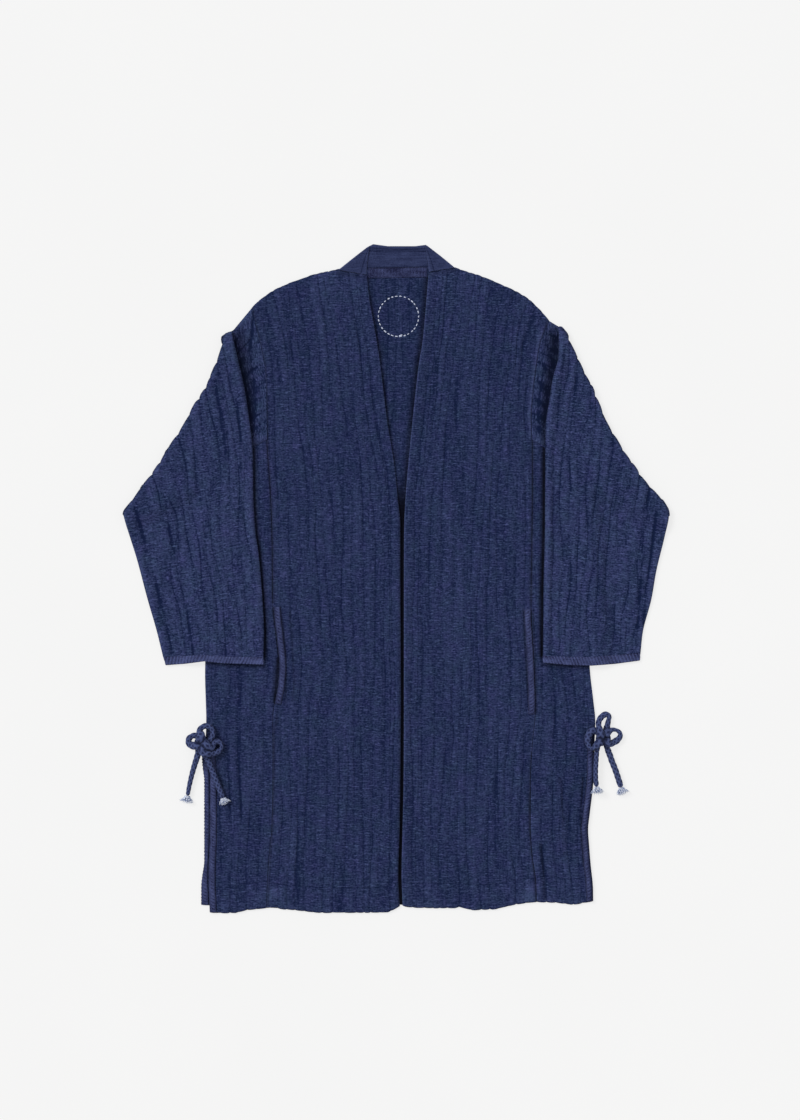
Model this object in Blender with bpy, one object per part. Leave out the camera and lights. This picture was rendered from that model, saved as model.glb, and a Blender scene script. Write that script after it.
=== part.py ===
"""Japanese work coat in crinkled indigo cotton, laid flat on its back with its open front up.

Metres, +Z up. The coat lies on the plane z = 0, its collar towards +Y and its hem towards -Y. Right and
left are the wearer's, so the wearer's right half is at -X. The origin is under the middle of the coat.
Every cloth piece is a wall of its own, and pieces that are sewn together lie 0.3 mm apart.

The tables give plan positions in millimetres, read from the laid-out coat. A line that runs up the coat
is a table of (y, x) rows, and a line that runs across it is a table of (x, y) rows.
"""

from math import pi, sin

import bmesh
import bpy
from mathutils import Vector

MM = 0.001

# Cloth and seams, in millimetres
CLOTH = 1.8
GAP = 0.3
BAND = 1.2
BAND_WIDTH = 10.5

# The layers above the surface, in millimetres
BACK_TOP = CLOTH
FRONT_UNDER = BACK_TOP + GAP
FRONT_TOP = FRONT_UNDER + CLOTH
RIDGE = 1.5
FOREARM_UNDER = FRONT_TOP + RIDGE + GAP
FOREARM_THICK = 2 * CLOTH + GAP
FOREARM_CLEAR = 15.0
FOREARM_DROP = 24.0
FOLD_INSET = 1.5
BACK_RIDGE = 0.25

# Heights and places on the plan that several pieces share
UNDERARM = 208.0
V_POINT = 90.0
FOLD_TIP = (407.0, 103.0)

# Rows of cloth cells: above and below the underarm on the body, and along a forearm
ARMHOLE_ROWS = 6
BODY_ROWS = 20
FOREARM_ROWS = 13

# Ridges of the crinkled cloth across each piece
FRONT_RIDGES = 14
SIDE_RIDGES = 6
FOREARM_RIDGES = 13
ROOT_RIDGES = 12
BACK_RIDGES = 6
BACK_RIDGED = (0.41, 0.60)
ROOT_COLUMNS = (0.0, 0.3, 0.55, 0.75, 0.9, 1.0)
COLLAR_COLUMNS = 8
WELT_ROWS = 8
SLIT_ROWS = 12

# Lines up the coat: height above the box's middle, place across
SEAM_RIGHT = (
    (406, -217), (370, -209), (320, -198), (268, -195), (208, -194), (116, -188), (47, -186), (-40, -185),
    (-88, -180), (-128, -176), (-160, -178), (-205, -185), (-302, -185), (-374, -187), (-431, -192),
    (-494, -195),
)
SEAM_LEFT = (
    (386, 229.5), (356, 217), (308, 209), (248, 203), (208, 204), (148, 204), (47, 203), (-46, 202),
    (-122, 206), (-202, 208), (-245, 204), (-302, 201), (-374, 201), (-418, 204), (-452, 209), (-485, 210),
)
FRONT_EDGE_RIGHT = (
    (454, -44), (416, -40), (377, -33), (328, -25), (238, -14), (208, -9), (169, -3), (122, 2), (85, 6),
    (28, 6), (-182, 7), (-302, 6), (-374, 5), (-446, 3), (-491, 5),
)
FRONT_EDGE_LEFT = (
    (458, 48), (410, 44), (356, 39), (319, 33), (238, 24), (208, 21), (176, 18), (130, 14), (85, 11.5),
    (28, 11), (-182, 11), (-302, 10.5), (-374, 9), (-446, 7.5), (-491, 9),
)
SIDE_RIGHT = (
    (166, -264), (120, -268), (60, -275), (-60, -284), (-137, -287), (-182, -286), (-235, -284), (-302, -280),
    (-388, -280), (-446, -282), (-501, -280),
)
SIDE_LEFT = (
    (166, 268), (120, 272), (60, 279), (-60, 287), (-137, 290), (-182, 295), (-212, 298), (-323, 293),
    (-351, 290), (-375, 287.4), (-399, 288.8), (-431, 291.4), (-459, 294.4), (-484, 295),
)
BACK_SIDE_RIGHT = (
    (208, -194), (200, -205), (166, -264), (120, -268), (60, -275), (-60, -284), (-137, -287), (-212, -286),
    (-302, -288.6), (-423, -288.8), (-447, -292), (-459, -293.2), (-490, -293.4),
)
BACK_SIDE_LEFT = (
    (208, 204), (200, 215), (166, 268), (120, 272), (60, 279), (-60, 286), (-137, 289), (-182, 292),
    (-212, 294), (-323, 290), (-375, 284.5), (-431, 288.5), (-480, 292),
)
INNER_FOREARM_RIGHT = (
    (371, -247), (321, -235.5), (280, -226.5), (228, -219), (190, -215), (116, -214), (70, -211), (35, -206),
    (-22, -201), (-77, -198), (-117.5, -199),
)
INNER_FOREARM_LEFT = (
    (377.5, 243), (332, 242.5), (301, 234), (263, 228), (229, 223), (148, 222.5), (58, 222), (-17, 220),
    (-101, 219.5), (-115.5, 219),
)
OUTER_FOREARM_RIGHT = ((95, -409), (73, -403), (28, -389), (-32, -373), (-77, -360), (-117.5, -350))
OUTER_FOREARM_LEFT = ((95, 409), (58, 401), (13, 390), (-32, 382), (-77, 370), (-111, 366))

# Lines across the coat: place across, height above the box's middle
SHOULDER_RIGHT = (
    (-217, 406), (-206, 417), (-188, 430), (-163, 442), (-130, 454), (-110, 459), (-88, 461.5),
)
SHOULDER_LEFT = (
    (229.5, 386), (216.5, 401.5), (201, 417), (181, 430), (155, 442), (125, 454), (103, 461), (88, 465),
)
NECK_SEAM_RIGHT = ((-88, 461.5), (-44, 454))
NECK_SEAM_LEFT = ((88, 465), (48, 458))
NECKLINE = ((-86, 464.5), (84, 468))
COLLAR_TOP = ((-42, 498), (-35, 501.5), (-13, 498.5), (28, 498.5), (44, 500.5))
FREE_EDGE_RIGHT = ((455, -44.5), (478, -43), (497, -40.5))
FREE_EDGE_LEFT = ((459, 48.5), (478, 46.5), (499, 43))
COLLAR_FOLD_RIGHT = ((462, -88), (480, -65.5), (497, -43.5))
COLLAR_FOLD_LEFT = ((465.5, 88), (482, 68), (499, 46))
HEM_RIGHT = ((-195, -494), (-188, -493), (-166, -496), (-116, -501), (-70, -501), (-12, -500.5), (5, -491))
HEM_LEFT = ((210, -485), (187, -487), (146, -496), (112, -497), (95, -493), (88, -494), (29, -494), (9, -491))
SIDE_HEM_RIGHT = ((-280, -501), (-241, -501.5), (-224, -497), (-195, -494))
SIDE_HEM_LEFT = ((295, -484), (263, -489), (239, -486), (210, -485))
BACK_HEM = ((-292, -490), (-180, -491), (-60, -493), (10, -489), (100, -490), (200, -484), (292, -480))
FOLD_RIGHT = (
    (-407, 103), (-395, 119), (-380.5, 140), (-361, 163), (-345, 191), (-328, 215), (-314.5, 239),
    (-300.5, 264), (-286.5, 287), (-275.5, 311), (-266.5, 334), (-261.5, 350), (-260.5, 363),
)
FOLD_LEFT = (
    (407, 103), (397, 119), (378.5, 139), (358, 166), (341, 190), (327.5, 214), (314, 238), (303.5, 262),
    (293, 285), (281, 310), (270.5, 334), (259, 357.5), (254, 367.5), (247.5, 376),
)
CUFF_SEAM_RIGHT = ((-350, -117.5), (-303, -115), (-284, -114.5), (-258, -117), (-199, -117.5))
CUFF_SEAM_LEFT = ((366, -111), (328, -114.5), (292, -117.5), (255, -117), (219, -115.5))
CUFF_END_RIGHT = ((-346, -130), (-318, -128), (-288, -124), (-258, -127), (-199, -129))
CUFF_END_LEFT = ((365, -123), (328, -128), (292, -130.5), (255, -129.5), (219, -126))

# Neck tape, pocket mouths, slits and cuffs, in millimetres
TAPE_WIDTH = 16.0
POCKETS = {"right": (-188.0, -43.0), "left": (-203.0, -46.0)}
CALM_MARGIN = 40.0
SLIT_TOP = -235.0
CUFF_WALL = 1.5
CUFF_EXTRA = 0.6
CUFF_STEPS = 12
CUFF_END_SHARE = 0.02

# The rim of two layers of cloth: share of its height, distance out of the plan
TWO_LAYERS = ((0.0, 0.0), (0.24, 1.0), (0.5, -0.8), (0.76, 1.0), (1.0, 0.0))

# Ties: round cord in a knot of three loops, then a free end on each side with a frayed tuft
CORD = 8.0
CORD_RESOLUTION = 2
KNOT_PLACE = {"right": (-292.0, -248.5), "left": (309.5, -240.0)}
KNOT_POINTS = 76
END_POINTS = 16
EDGE_DROP = 9.0
TUFT_RADIUS = 4.2
TUFT_STRAND = 6.2
TUFT_FLARE = 1.15
TUFT_FLATNESS = 0.75

# The knots' routes from their middles: across, up, level (1 on top of the other cord, -1 under it)
KNOT_ROUTE = {
    "right": (
        (-5.0, -13.5, -1.0), (-3.8, -7.6, -1.0), (-5.8, -2.0, -1.0), (-4.4, 3.0, 0.0), (-1.8, 7.6, 1.0),
        (-3.6, 13.2, 0.4), (-4.6, 18.6, -0.6), (-0.8, 25.0, -1.0), (6.4, 28.6, -1.0), (14.0, 24.8, -1.0),
        (17.0, 16.8, -0.9), (13.6, 8.4, -0.8), (7.2, 1.4, -1.0), (4.2, -3.0, 0.0), (1.6, -7.4, 1.0),
        (3.2, -13.0, 1.0), (9.4, -15.0, 0.9), (17.3, -14.4, -0.5), (25.4, -11.9, -1.0), (30.0, -5.8, -1.0),
        (29.2, 0.8, -1.0), (24.4, 4.8, -1.0), (18.6, 3.0, -1.0), (14.0, -2.4, 0.3), (7.2, 1.4, 1.0),
        (3.0, 4.6, 0.0), (-1.8, 7.6, -1.0), (-6.2, 12.0, -1.0), (-12.7, 13.8, -1.0), (-18.8, 9.2, -1.0),
        (-20.0, 2.6, -1.0), (-16.4, -2.2, -0.6), (-11.2, -2.8, 0.4), (-6.2, -1.6, 1.0), (-2.4, -4.6, 0.0),
        (1.6, -7.4, -1.0), (5.0, -13.2, -1.0), (9.0, -21.4, -1.0),
    ),
    "left": (
        (-9.6, -18.6, -1.0), (-9.2, -11.5, -1.0), (-6.6, -4.8, -1.0), (-5.9, 0.4, 0.0), (-5.9, 5.6, 1.0),
        (-6.8, 12.0, 0.6), (-7.6, 19.8, -0.4), (-5.2, 27.0, -1.0), (0.0, 33.2, -1.0), (5.6, 36.0, -1.0),
        (9.4, 32.2, -1.0), (8.4, 24.2, -1.0), (6.2, 14.6, -1.0), (4.8, 6.6, -1.0), (5.0, 0.8, 0.0),
        (5.2, -4.8, 1.0), (9.0, -8.6, 0.5), (14.6, -7.6, -0.7), (20.4, -4.6, -1.0), (25.2, 1.2, -1.0),
        (25.6, 7.4, -1.0), (20.6, 12.0, -1.0), (14.6, 13.6, -0.8), (9.2, 11.2, 0.3), (4.8, 6.6, 1.0),
        (-0.6, 5.4, 0.0), (-5.9, 5.6, -1.0), (-10.4, 11.6, -1.0), (-15.6, 13.4, -1.0), (-21.8, 7.0, -1.0),
        (-24.0, -2.0, -1.0), (-21.2, -10.2, -1.0), (-16.0, -13.2, -0.6), (-11.4, -9.4, 0.5), (-6.6, -4.8, 1.0),
        (-0.6, -4.2, 0.0), (5.2, -4.8, -1.0), (5.8, -12.4, -1.0), (8.6, -20.5, -1.0),
    ),
}

# The free ends' routes from the knot: across and up from its middle
END_ROUTE = {
    "right_back": ((-9.4, -27.5), (-14.2, -44.0), (-18.4, -62.0), (-21.0, -77.0)),
    "right_front": ((14.0, -32.5), (19.0, -46.0), (24.6, -61.0), (31.2, -77.5)),
    "left_front": ((-11.0, -32.0), (-11.4, -46.0), (-11.2, -60.0), (-9.8, -71.5)),
    "left_back": ((13.4, -32.0), (18.2, -46.0), (22.9, -60.0), (27.0, -73.0)),
}


def clear_scene():
    """Start from an empty file."""
    for thing in list(bpy.data.objects):
        bpy.data.objects.remove(thing)


def cloth_material(name, colour, roughness=0.9):
    """A dyed cotton finish."""
    material = bpy.data.materials.new(name)
    material.use_nodes = True
    shader = material.node_tree.nodes["Principled BSDF"]
    shader.inputs["Base Color"].default_value = (*colour, 1.0)
    shader.inputs["Roughness"].default_value = roughness
    shader.inputs["Metallic"].default_value = 0.0
    return material


def smooth_value(rows, place):
    """Read a table of (place, value) rows as a smooth line, held straight past its ends."""
    rows = sorted(rows)
    slopes = []
    for index, (here, value) in enumerate(rows):
        before = rows[max(index - 1, 0)]
        after = rows[min(index + 1, len(rows) - 1)]
        slopes.append((after[1] - before[1]) / (after[0] - before[0]))
    if place <= rows[0][0]:
        return rows[0][1] + slopes[0] * (place - rows[0][0])
    if place >= rows[-1][0]:
        return rows[-1][1] + slopes[-1] * (place - rows[-1][0])
    index = max(i for i, row in enumerate(rows) if row[0] <= place)
    (start, low), (end, high) = rows[index], rows[index + 1]
    span = end - start
    t = (place - start) / span
    rise = high - low
    steep = 3.0 * abs(rise) / span
    first = max(-steep, min(steep, slopes[index]))
    last = max(-steep, min(steep, slopes[index + 1]))
    bend = (3 - 2 * t) * t * t * rise
    return low + bend + span * t * (1 - t) * ((1 - t) * first - t * last)


def line_up(table, start, end, count):
    """Stations on a line up the coat, from one height to another."""
    heights = [start + (end - start) * step / count for step in range(count + 1)]
    return [Vector((smooth_value(table, height), height)) for height in heights]


def line_across(*tables):
    """A line across the coat as a function of its share, from several tables laid end to end."""
    points = [Vector(row) for table in tables for row in table]
    kept = [points[0]]
    for point in points[1:]:
        if (point - kept[-1]).length > 0.01:
            kept.append(point)
    lengths = [0.0]
    for before, after in zip(kept, kept[1:]):
        lengths.append(lengths[-1] + (after - before).length)

    def at(share):
        target = max(0.0, min(1.0, share)) * lengths[-1]
        index = max(i for i, length in enumerate(lengths[:-1]) if length <= target)
        part = (target - lengths[index]) / (lengths[index + 1] - lengths[index])
        return kept[index].lerp(kept[index + 1], part)

    return at


def refined(stations, parts):
    """The same broken line with each stretch cut into equal parts."""
    points = []
    for before, after in zip(stations, stations[1:]):
        points.extend(before.lerp(after, part / parts) for part in range(parts))
    return points + [stations[-1]]


def beside(stations, distance):
    """The same line moved sideways, to its right when distance is positive."""
    moved = []
    for index, point in enumerate(stations):
        along = stations[min(index + 1, len(stations) - 1)] - stations[max(index - 1, 0)]
        along.normalize()
        moved.append(point + Vector((along.y, -along.x)) * distance)
    return moved


def wander(column, share):
    """Sideways wander of a ridge's column, in half ridges, smooth along it and from column to column."""
    slow = sin(2 * pi * (1.15 * share + 0.071 * column))
    quick = sin(2 * pi * (2.7 * share - 0.113 * column + 0.31))
    return 0.62 * slow + 0.38 * quick


def ridge_columns(ridges, share):
    """Places across a piece, 0 to 1: valleys on even columns and crests between them, as they wander."""
    places = []
    last = 2 * ridges
    for column in range(last + 1):
        hold = min(1.0, column / 3, (last - column) / 3)
        places.append((column + 0.7 * hold * wander(column, share)) / last)
    return places


def ridge_height(column, share):
    """Height share of a column: 0 in a valley, uneven along a crest."""
    if column % 2 == 0:
        return 0.12 + 0.12 * sin(2 * pi * (1.9 * share + 0.17 * column))
    long = sin(2 * pi * (1.6 * share + 0.389 * column))
    short = sin(2 * pi * (3.7 * share - 0.217 * column))
    return 0.72 + 0.14 * (long + short)


def patch(left, right, bottom, top, columns_at):
    """Plan points of a four-sided piece: rows from its bottom line up, columns between its sides.

    left and right are lists of stations, one for each row; bottom and top are functions of a share;
    columns_at gives the columns' places, 0 to 1, for a row's share.
    """
    rows = len(left) - 1
    corners = (left[0], right[0], left[-1], right[-1])
    grid = []
    for row in range(rows + 1):
        v = row / rows
        line = []
        for u in columns_at(v):
            sides = left[row].lerp(right[row], u)
            ends = bottom(u).lerp(top(u), v)
            across = corners[0].lerp(corners[1], u).lerp(corners[2].lerp(corners[3], u), v)
            line.append(sides + ends - across)
        grid.append(line)
    return grid


def finish_piece(name, mesh, material):
    """Make a named object of a mesh that is in metres."""
    data = bpy.data.meshes.new(name)
    mesh.to_mesh(data)
    mesh.free()
    data.shade_smooth()
    data.set_sharp_from_angle(angle=0.9)
    data.materials.append(material)
    piece = bpy.data.objects.new(name, data)
    bpy.context.scene.collection.objects.link(piece)
    return piece


def rim_cells(rows, columns):
    """The cells on a grid's rim, in order round it, anticlockwise from its first cell."""
    cells = [(0, column) for column in range(columns)]
    cells += [(row, columns) for row in range(rows)]
    cells += [(rows, column) for column in range(columns, 0, -1)]
    cells += [(row, 0) for row in range(rows, 0, -1)]
    return cells


def cloth_wall(name, grid, under, top, material, under_columns=(), layers=((0.0, 0.0), (1.0, 0.0))):
    """A closed wall of cloth over a plan grid: a shaped top, a plain underside and a rim between them.

    under(point) and top(point, row, column) give heights. under_columns are the inner columns that the
    underside keeps. layers are the rim's rings: share of its height, distance out of the plan, which is
    left out on the first row, where the next piece is sewn on.
    """
    rows, columns = len(grid) - 1, len(grid[0]) - 1
    turned = (grid[0][-1] - grid[0][0]).cross(grid[-1][0] - grid[0][0]) < 0
    mesh = bmesh.new()
    upper = [
        [mesh.verts.new((*(point * MM), top(point, row, column) * MM)) for column, point in enumerate(line)]
        for row, line in enumerate(grid)
    ]
    cells = rim_cells(rows, columns)
    loop = [grid[row][column] for row, column in cells]
    rings = []
    for share, out in layers[:-1]:
        ring = []
        for index, (row, column) in enumerate(cells):
            along = loop[(index + 1) % len(loop)] - loop[index - 1]
            along.normalize()
            reach = out if row else 0.0
            outward = Vector((along.y, -along.x)) * (-reach if turned else reach)
            point = loop[index] + outward
            low = under(loop[index])
            height = low + (top(loop[index], row, column) - low) * share
            ring.append(mesh.verts.new((*(point * MM), height * MM)))
        rings.append(ring)
    rings.append([upper[row][column] for row, column in cells])

    def face(*corners):
        mesh.faces.new(reversed(corners) if turned else corners)

    for row in range(rows):
        for column in range(columns):
            face(
                upper[row][column], upper[row][column + 1], upper[row + 1][column + 1], upper[row + 1][column]
            )
    for low_ring, high_ring in zip(rings, rings[1:]):
        for index in range(len(cells)):
            after = (index + 1) % len(cells)
            face(low_ring[index], low_ring[after], high_ring[after], high_ring[index])

    on_rim = {cell: rings[0][index] for index, cell in enumerate(cells)}
    kept = [0, *under_columns, columns]
    lower = dict(on_rim)
    for row in range(1, rows):
        for column in under_columns:
            point = grid[row][column]
            lower[row, column] = mesh.verts.new((*(point * MM), under(point) * MM))
    for row in range(rows):
        for start, end in zip(kept, kept[1:]):
            near = range(start, end + 1) if row == 0 else (start, end)
            far = range(start, end + 1) if row + 1 == rows else (start, end)
            outline = [lower[row, column] for column in near]
            outline += [lower[row + 1, column] for column in reversed(far)]
            face(*reversed(outline))
    return finish_piece(name, mesh, material)


def soft_step(value):
    """0 below 0, 1 above 1, and smooth between."""
    value = max(0.0, min(1.0, value))
    return value * value * (3 - 2 * value)


def crinkled(under, rows, ridges, calm=None):
    """Top heights of a crinkled cloth wall: rounded down at its rim and ridged inside it.

    Where calm(point, column) is true the cloth is pressed flat under a strip that is sewn on it.
    """

    def top(point, row, column):
        level = under + CLOTH
        if column in (0, 2 * ridges) or row in (0, rows):
            return level - 0.25 * CLOTH
        if calm and calm(point, column):
            return level
        return level + RIDGE * ridge_height(column, row / rows)

    return top


def body_stations(seam, front_edge):
    """Stations of a front panel's two long sides, hem to shoulder, with one of them at the underarm."""
    sides = []
    for table in (seam, front_edge):
        lower = line_up(table, min(table)[0], UNDERARM, BODY_ROWS)
        sides.append(lower + line_up(table, UNDERARM, max(table)[0], ARMHOLE_ROWS)[1:])
    return sides


def make_fronts(cloth):
    """The two main front panels, from the long armhole seam to the turned front edge."""
    parts = {
        "right": (SEAM_RIGHT, FRONT_EDGE_RIGHT, HEM_RIGHT, (SHOULDER_RIGHT, NECK_SEAM_RIGHT)),
        "left": (SEAM_LEFT, FRONT_EDGE_LEFT, HEM_LEFT, (SHOULDER_LEFT, NECK_SEAM_LEFT)),
    }
    rows = BODY_ROWS + ARMHOLE_ROWS
    for side, (seam, front_edge, hem, top_tables) in parts.items():
        outer, inner = body_stations(seam, front_edge)
        outer = beside(outer, GAP / 2 if side == "right" else -GAP / 2)
        low, high = POCKETS[side][0] - CALM_MARGIN, POCKETS[side][1] + CALM_MARGIN

        def by_pocket(point, column):
            return column < 3 and low < point.y < high

        grid = patch(
            outer, inner, line_across(hem), line_across(*top_tables), lambda v: ridge_columns(FRONT_RIDGES, v)
        )
        top = crinkled(FRONT_UNDER, rows, FRONT_RIDGES, by_pocket)
        cloth_wall(f"front_{side}", grid, lambda point: FRONT_UNDER, top, cloth)


def make_side_panels(cloth):
    """The side panels, from the underarm to the hem, between the armhole seam and the side edge."""
    parts = {
        "right": (SEAM_RIGHT, FRONT_EDGE_RIGHT, SIDE_RIGHT, SIDE_HEM_RIGHT),
        "left": (SEAM_LEFT, FRONT_EDGE_LEFT, SIDE_LEFT, SIDE_HEM_LEFT),
    }

    def by_slit(point, column):
        return column < 3 and point.y < SLIT_TOP + CALM_MARGIN

    for side, (seam, front_edge, edge, hem) in parts.items():
        inner = body_stations(seam, front_edge)[0][: BODY_ROWS + 1]
        inner = beside(inner, -GAP / 2 if side == "right" else GAP / 2)
        outer = line_up(edge, min(edge)[0], max(edge)[0], BODY_ROWS)
        top_line = line_across((outer[-1], inner[-1]))
        grid = patch(outer, inner, line_across(hem), top_line, lambda v: ridge_columns(SIDE_RIDGES, v))
        top = crinkled(FRONT_UNDER, BODY_ROWS, SIDE_RIDGES, by_slit)
        cloth_wall(f"side_panel_{side}", grid, lambda point: FRONT_UNDER, top, cloth)


def make_back(cloth):
    """The back panel, flat on the surface, its inside seen between the fronts."""
    sides = []
    for table, seam, clear in ((BACK_SIDE_RIGHT, SEAM_RIGHT, GAP / 2), (BACK_SIDE_LEFT, SEAM_LEFT, -GAP / 2)):
        lower = line_up(table, min(table)[0], UNDERARM, BODY_ROWS)
        upper = line_up(seam, UNDERARM, max(seam)[0], ARMHOLE_ROWS)[1:]
        sides.append(beside(lower + upper, clear))
    shoulders = line_across(SHOULDER_RIGHT[:-1], NECKLINE, reversed(SHOULDER_LEFT[:-1]))
    rows = BODY_ROWS + ARMHOLE_ROWS
    low, high = BACK_RIDGED
    last = 2 * BACK_RIDGES

    def columns_at(share):
        ridged = [low + (high - low) * place for place in ridge_columns(BACK_RIDGES, share)]
        return [0.0, low / 2, *ridged, (1 + high) / 2, 1.0]

    def top(point, row, column):
        if column in (0, last + 4) or row in (0, rows):
            return BACK_TOP - 0.25 * CLOTH
        if not 2 < column < last + 2 or point.y < V_POINT or row > rows - 2:
            return BACK_TOP
        return BACK_TOP + BACK_RIDGE * ridge_height(column - 2, row / rows)

    grid = patch(*sides, line_across(BACK_HEM), shoulders, columns_at)
    cloth_wall("back", grid, lambda point: 0.0, top, cloth)


def drop(point, side):
    """Share of the forearm's full height above the surface: 1 over the coat, 0 well beside it."""
    out = -1 if side == "right" else 1
    tip = Vector((out * FOLD_TIP[0], FOLD_TIP[1]))
    underarm = Vector((SEAM_RIGHT[4][1] if side == "right" else SEAM_LEFT[4][1], UNDERARM))
    along = (underarm - tip).normalized()
    below = Vector((along.y * -out, along.x * out)).dot(point - tip)
    table = SIDE_RIGHT if side == "right" else SIDE_LEFT
    beyond = out * (point.x - smooth_value(table, min(point.y, max(table)[0])))
    return 1.0 - soft_step((min(below, beyond) - FOREARM_CLEAR) / FOREARM_DROP)


def make_sleeve_roots(cloth):
    """The sleeves' roots, from the armhole to the diagonal fold, their two layers in one solid."""
    parts = {
        "right": (SEAM_RIGHT, FRONT_EDGE_RIGHT, FOLD_RIGHT, INNER_FOREARM_RIGHT),
        "left": (SEAM_LEFT, FRONT_EDGE_LEFT, FOLD_LEFT, INNER_FOREARM_LEFT),
    }
    rows = 2 * ROOT_RIDGES
    for side, (seam, front_edge, fold, inner_edge) in parts.items():
        sign = -1 if side == "right" else 1
        armhole = body_stations(seam, front_edge)[0][BODY_ROWS:]
        armhole = refined(beside(armhole, sign * GAP / 2), rows // ARMHOLE_ROWS)
        armhole[0].y += GAP
        fold_line = line_across(fold)
        outer = [fold_line(row / rows) - Vector((sign * FOLD_INSET, 0)) for row in range(rows + 1)]
        outer[0].y += GAP
        shoulder = Vector((inner_edge[0][1], inner_edge[0][0]))
        top_line = line_across((outer[-1], shoulder + Vector((sign * -3, 2)), armhole[-1]))
        grid = patch(outer, armhole, line_across((outer[0], armhole[0])), top_line, lambda v: ROOT_COLUMNS)
        last = len(ROOT_COLUMNS) - 1

        def top(point, row, column):
            if column in (0, last) or row in (0, rows):
                return FRONT_TOP - 0.25 * CLOTH
            return FRONT_TOP + RIDGE * ridge_height(row, column / last)

        cloth_wall(f"sleeve_{side}_root", grid, lambda point: 0.0, top, cloth)


def make_forearms(cloth):
    """The folded-over forearms: each is a flattened tube that lies on the coat's side and on the surface."""
    parts = {
        "right": (OUTER_FOREARM_RIGHT, INNER_FOREARM_RIGHT, CUFF_SEAM_RIGHT, FOLD_RIGHT),
        "left": (OUTER_FOREARM_LEFT, INNER_FOREARM_LEFT, CUFF_SEAM_LEFT, FOLD_LEFT),
    }
    last = 2 * FOREARM_RIDGES
    for side, (outer_edge, inner_edge, cuff_seam, fold) in parts.items():
        outer = line_up(outer_edge, min(outer_edge)[0], max(outer_edge)[0], FOREARM_ROWS)
        inner = line_up(inner_edge, min(inner_edge)[0], max(inner_edge)[0], FOREARM_ROWS)
        fold_line = line_across((outer[-1],), fold, (inner[-1],))
        seam_line = line_across(cuff_seam)
        grid = patch(outer, inner, seam_line, fold_line, lambda v: ridge_columns(FOREARM_RIDGES, v))

        def under(point):
            return FOREARM_UNDER * drop(point, side)

        def top(point, row, column):
            level = under(point) + FOREARM_THICK
            if column in (0, last) or row in (0, FOREARM_ROWS):
                return level - 0.25 * CLOTH
            return level + RIDGE * ridge_height(column, row / FOREARM_ROWS)

        cloth_wall(f"sleeve_{side}", grid, under, top, cloth, range(2, last, 2), TWO_LAYERS)


def make_cuffs(binding):
    """The ribbed bands round the cuffs: flattened rings, open through the sleeve's mouth."""
    parts = {
        "right": (CUFF_SEAM_RIGHT, CUFF_END_RIGHT),
        "left": (CUFF_SEAM_LEFT, CUFF_END_LEFT),
    }
    for side, (seam, end) in parts.items():
        lines = (line_across(seam), line_across(end))
        mesh = bmesh.new()
        loops = []
        for line, shift in zip(lines, (-GAP, 0.0)):
            outside, inside = [], []
            for lid in (1, 0):
                for step in range(CUFF_STEPS + 1):
                    share = step / CUFF_STEPS
                    share = share if lid else 1 - share
                    point = line(share) + Vector((0, shift))
                    low = FOREARM_UNDER * drop(point, side)
                    high = low + FOREARM_THICK + CUFF_EXTRA
                    pressed = 0.25 * CLOTH if step in (0, CUFF_STEPS) else 0.0
                    outside.append((point, high - pressed if lid else low + pressed))
                    narrow = line(max(CUFF_END_SHARE, min(1 - CUFF_END_SHARE, share))) + Vector((0, shift))
                    inside.append((narrow, high - CUFF_WALL if lid else low + CUFF_WALL))
            for ring in (outside, inside):
                loops.append([mesh.verts.new((*(point * MM), height * MM)) for point, height in ring])
        near_out, near_in, far_out, far_in = loops
        count = len(near_out)
        for index in range(count):
            after = (index + 1) % count
            mesh.faces.new((near_out[index], near_out[after], far_out[after], far_out[index]))
            mesh.faces.new((near_in[after], near_in[index], far_in[index], far_in[after]))
            mesh.faces.new((near_out[after], near_out[index], near_in[index], near_in[after]))
            mesh.faces.new((far_out[index], far_out[after], far_in[after], far_in[index]))
        bmesh.ops.recalc_face_normals(mesh, faces=mesh.faces)
        finish_piece(f"cuff_{side}", mesh, binding)


def plain_top(height, rows, columns):
    """Top heights of a smooth band: level, and a little lower on its rim."""

    def top(point, row, column):
        return height - (0.2 * CLOTH if column in (0, columns) or row in (0, rows) else 0.0)

    return top


def strip(name, left, right, under, thickness, material, columns=2):
    """A narrow band of cloth between two lists of stations."""
    bottom, end = line_across((left[0], right[0])), line_across((left[-1], right[-1]))
    grid = patch(left, right, bottom, end, lambda v: [column / columns for column in range(columns + 1)])
    top = plain_top(under + thickness, len(left) - 1, columns)
    return cloth_wall(name, grid, lambda point: under, top, material)


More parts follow.
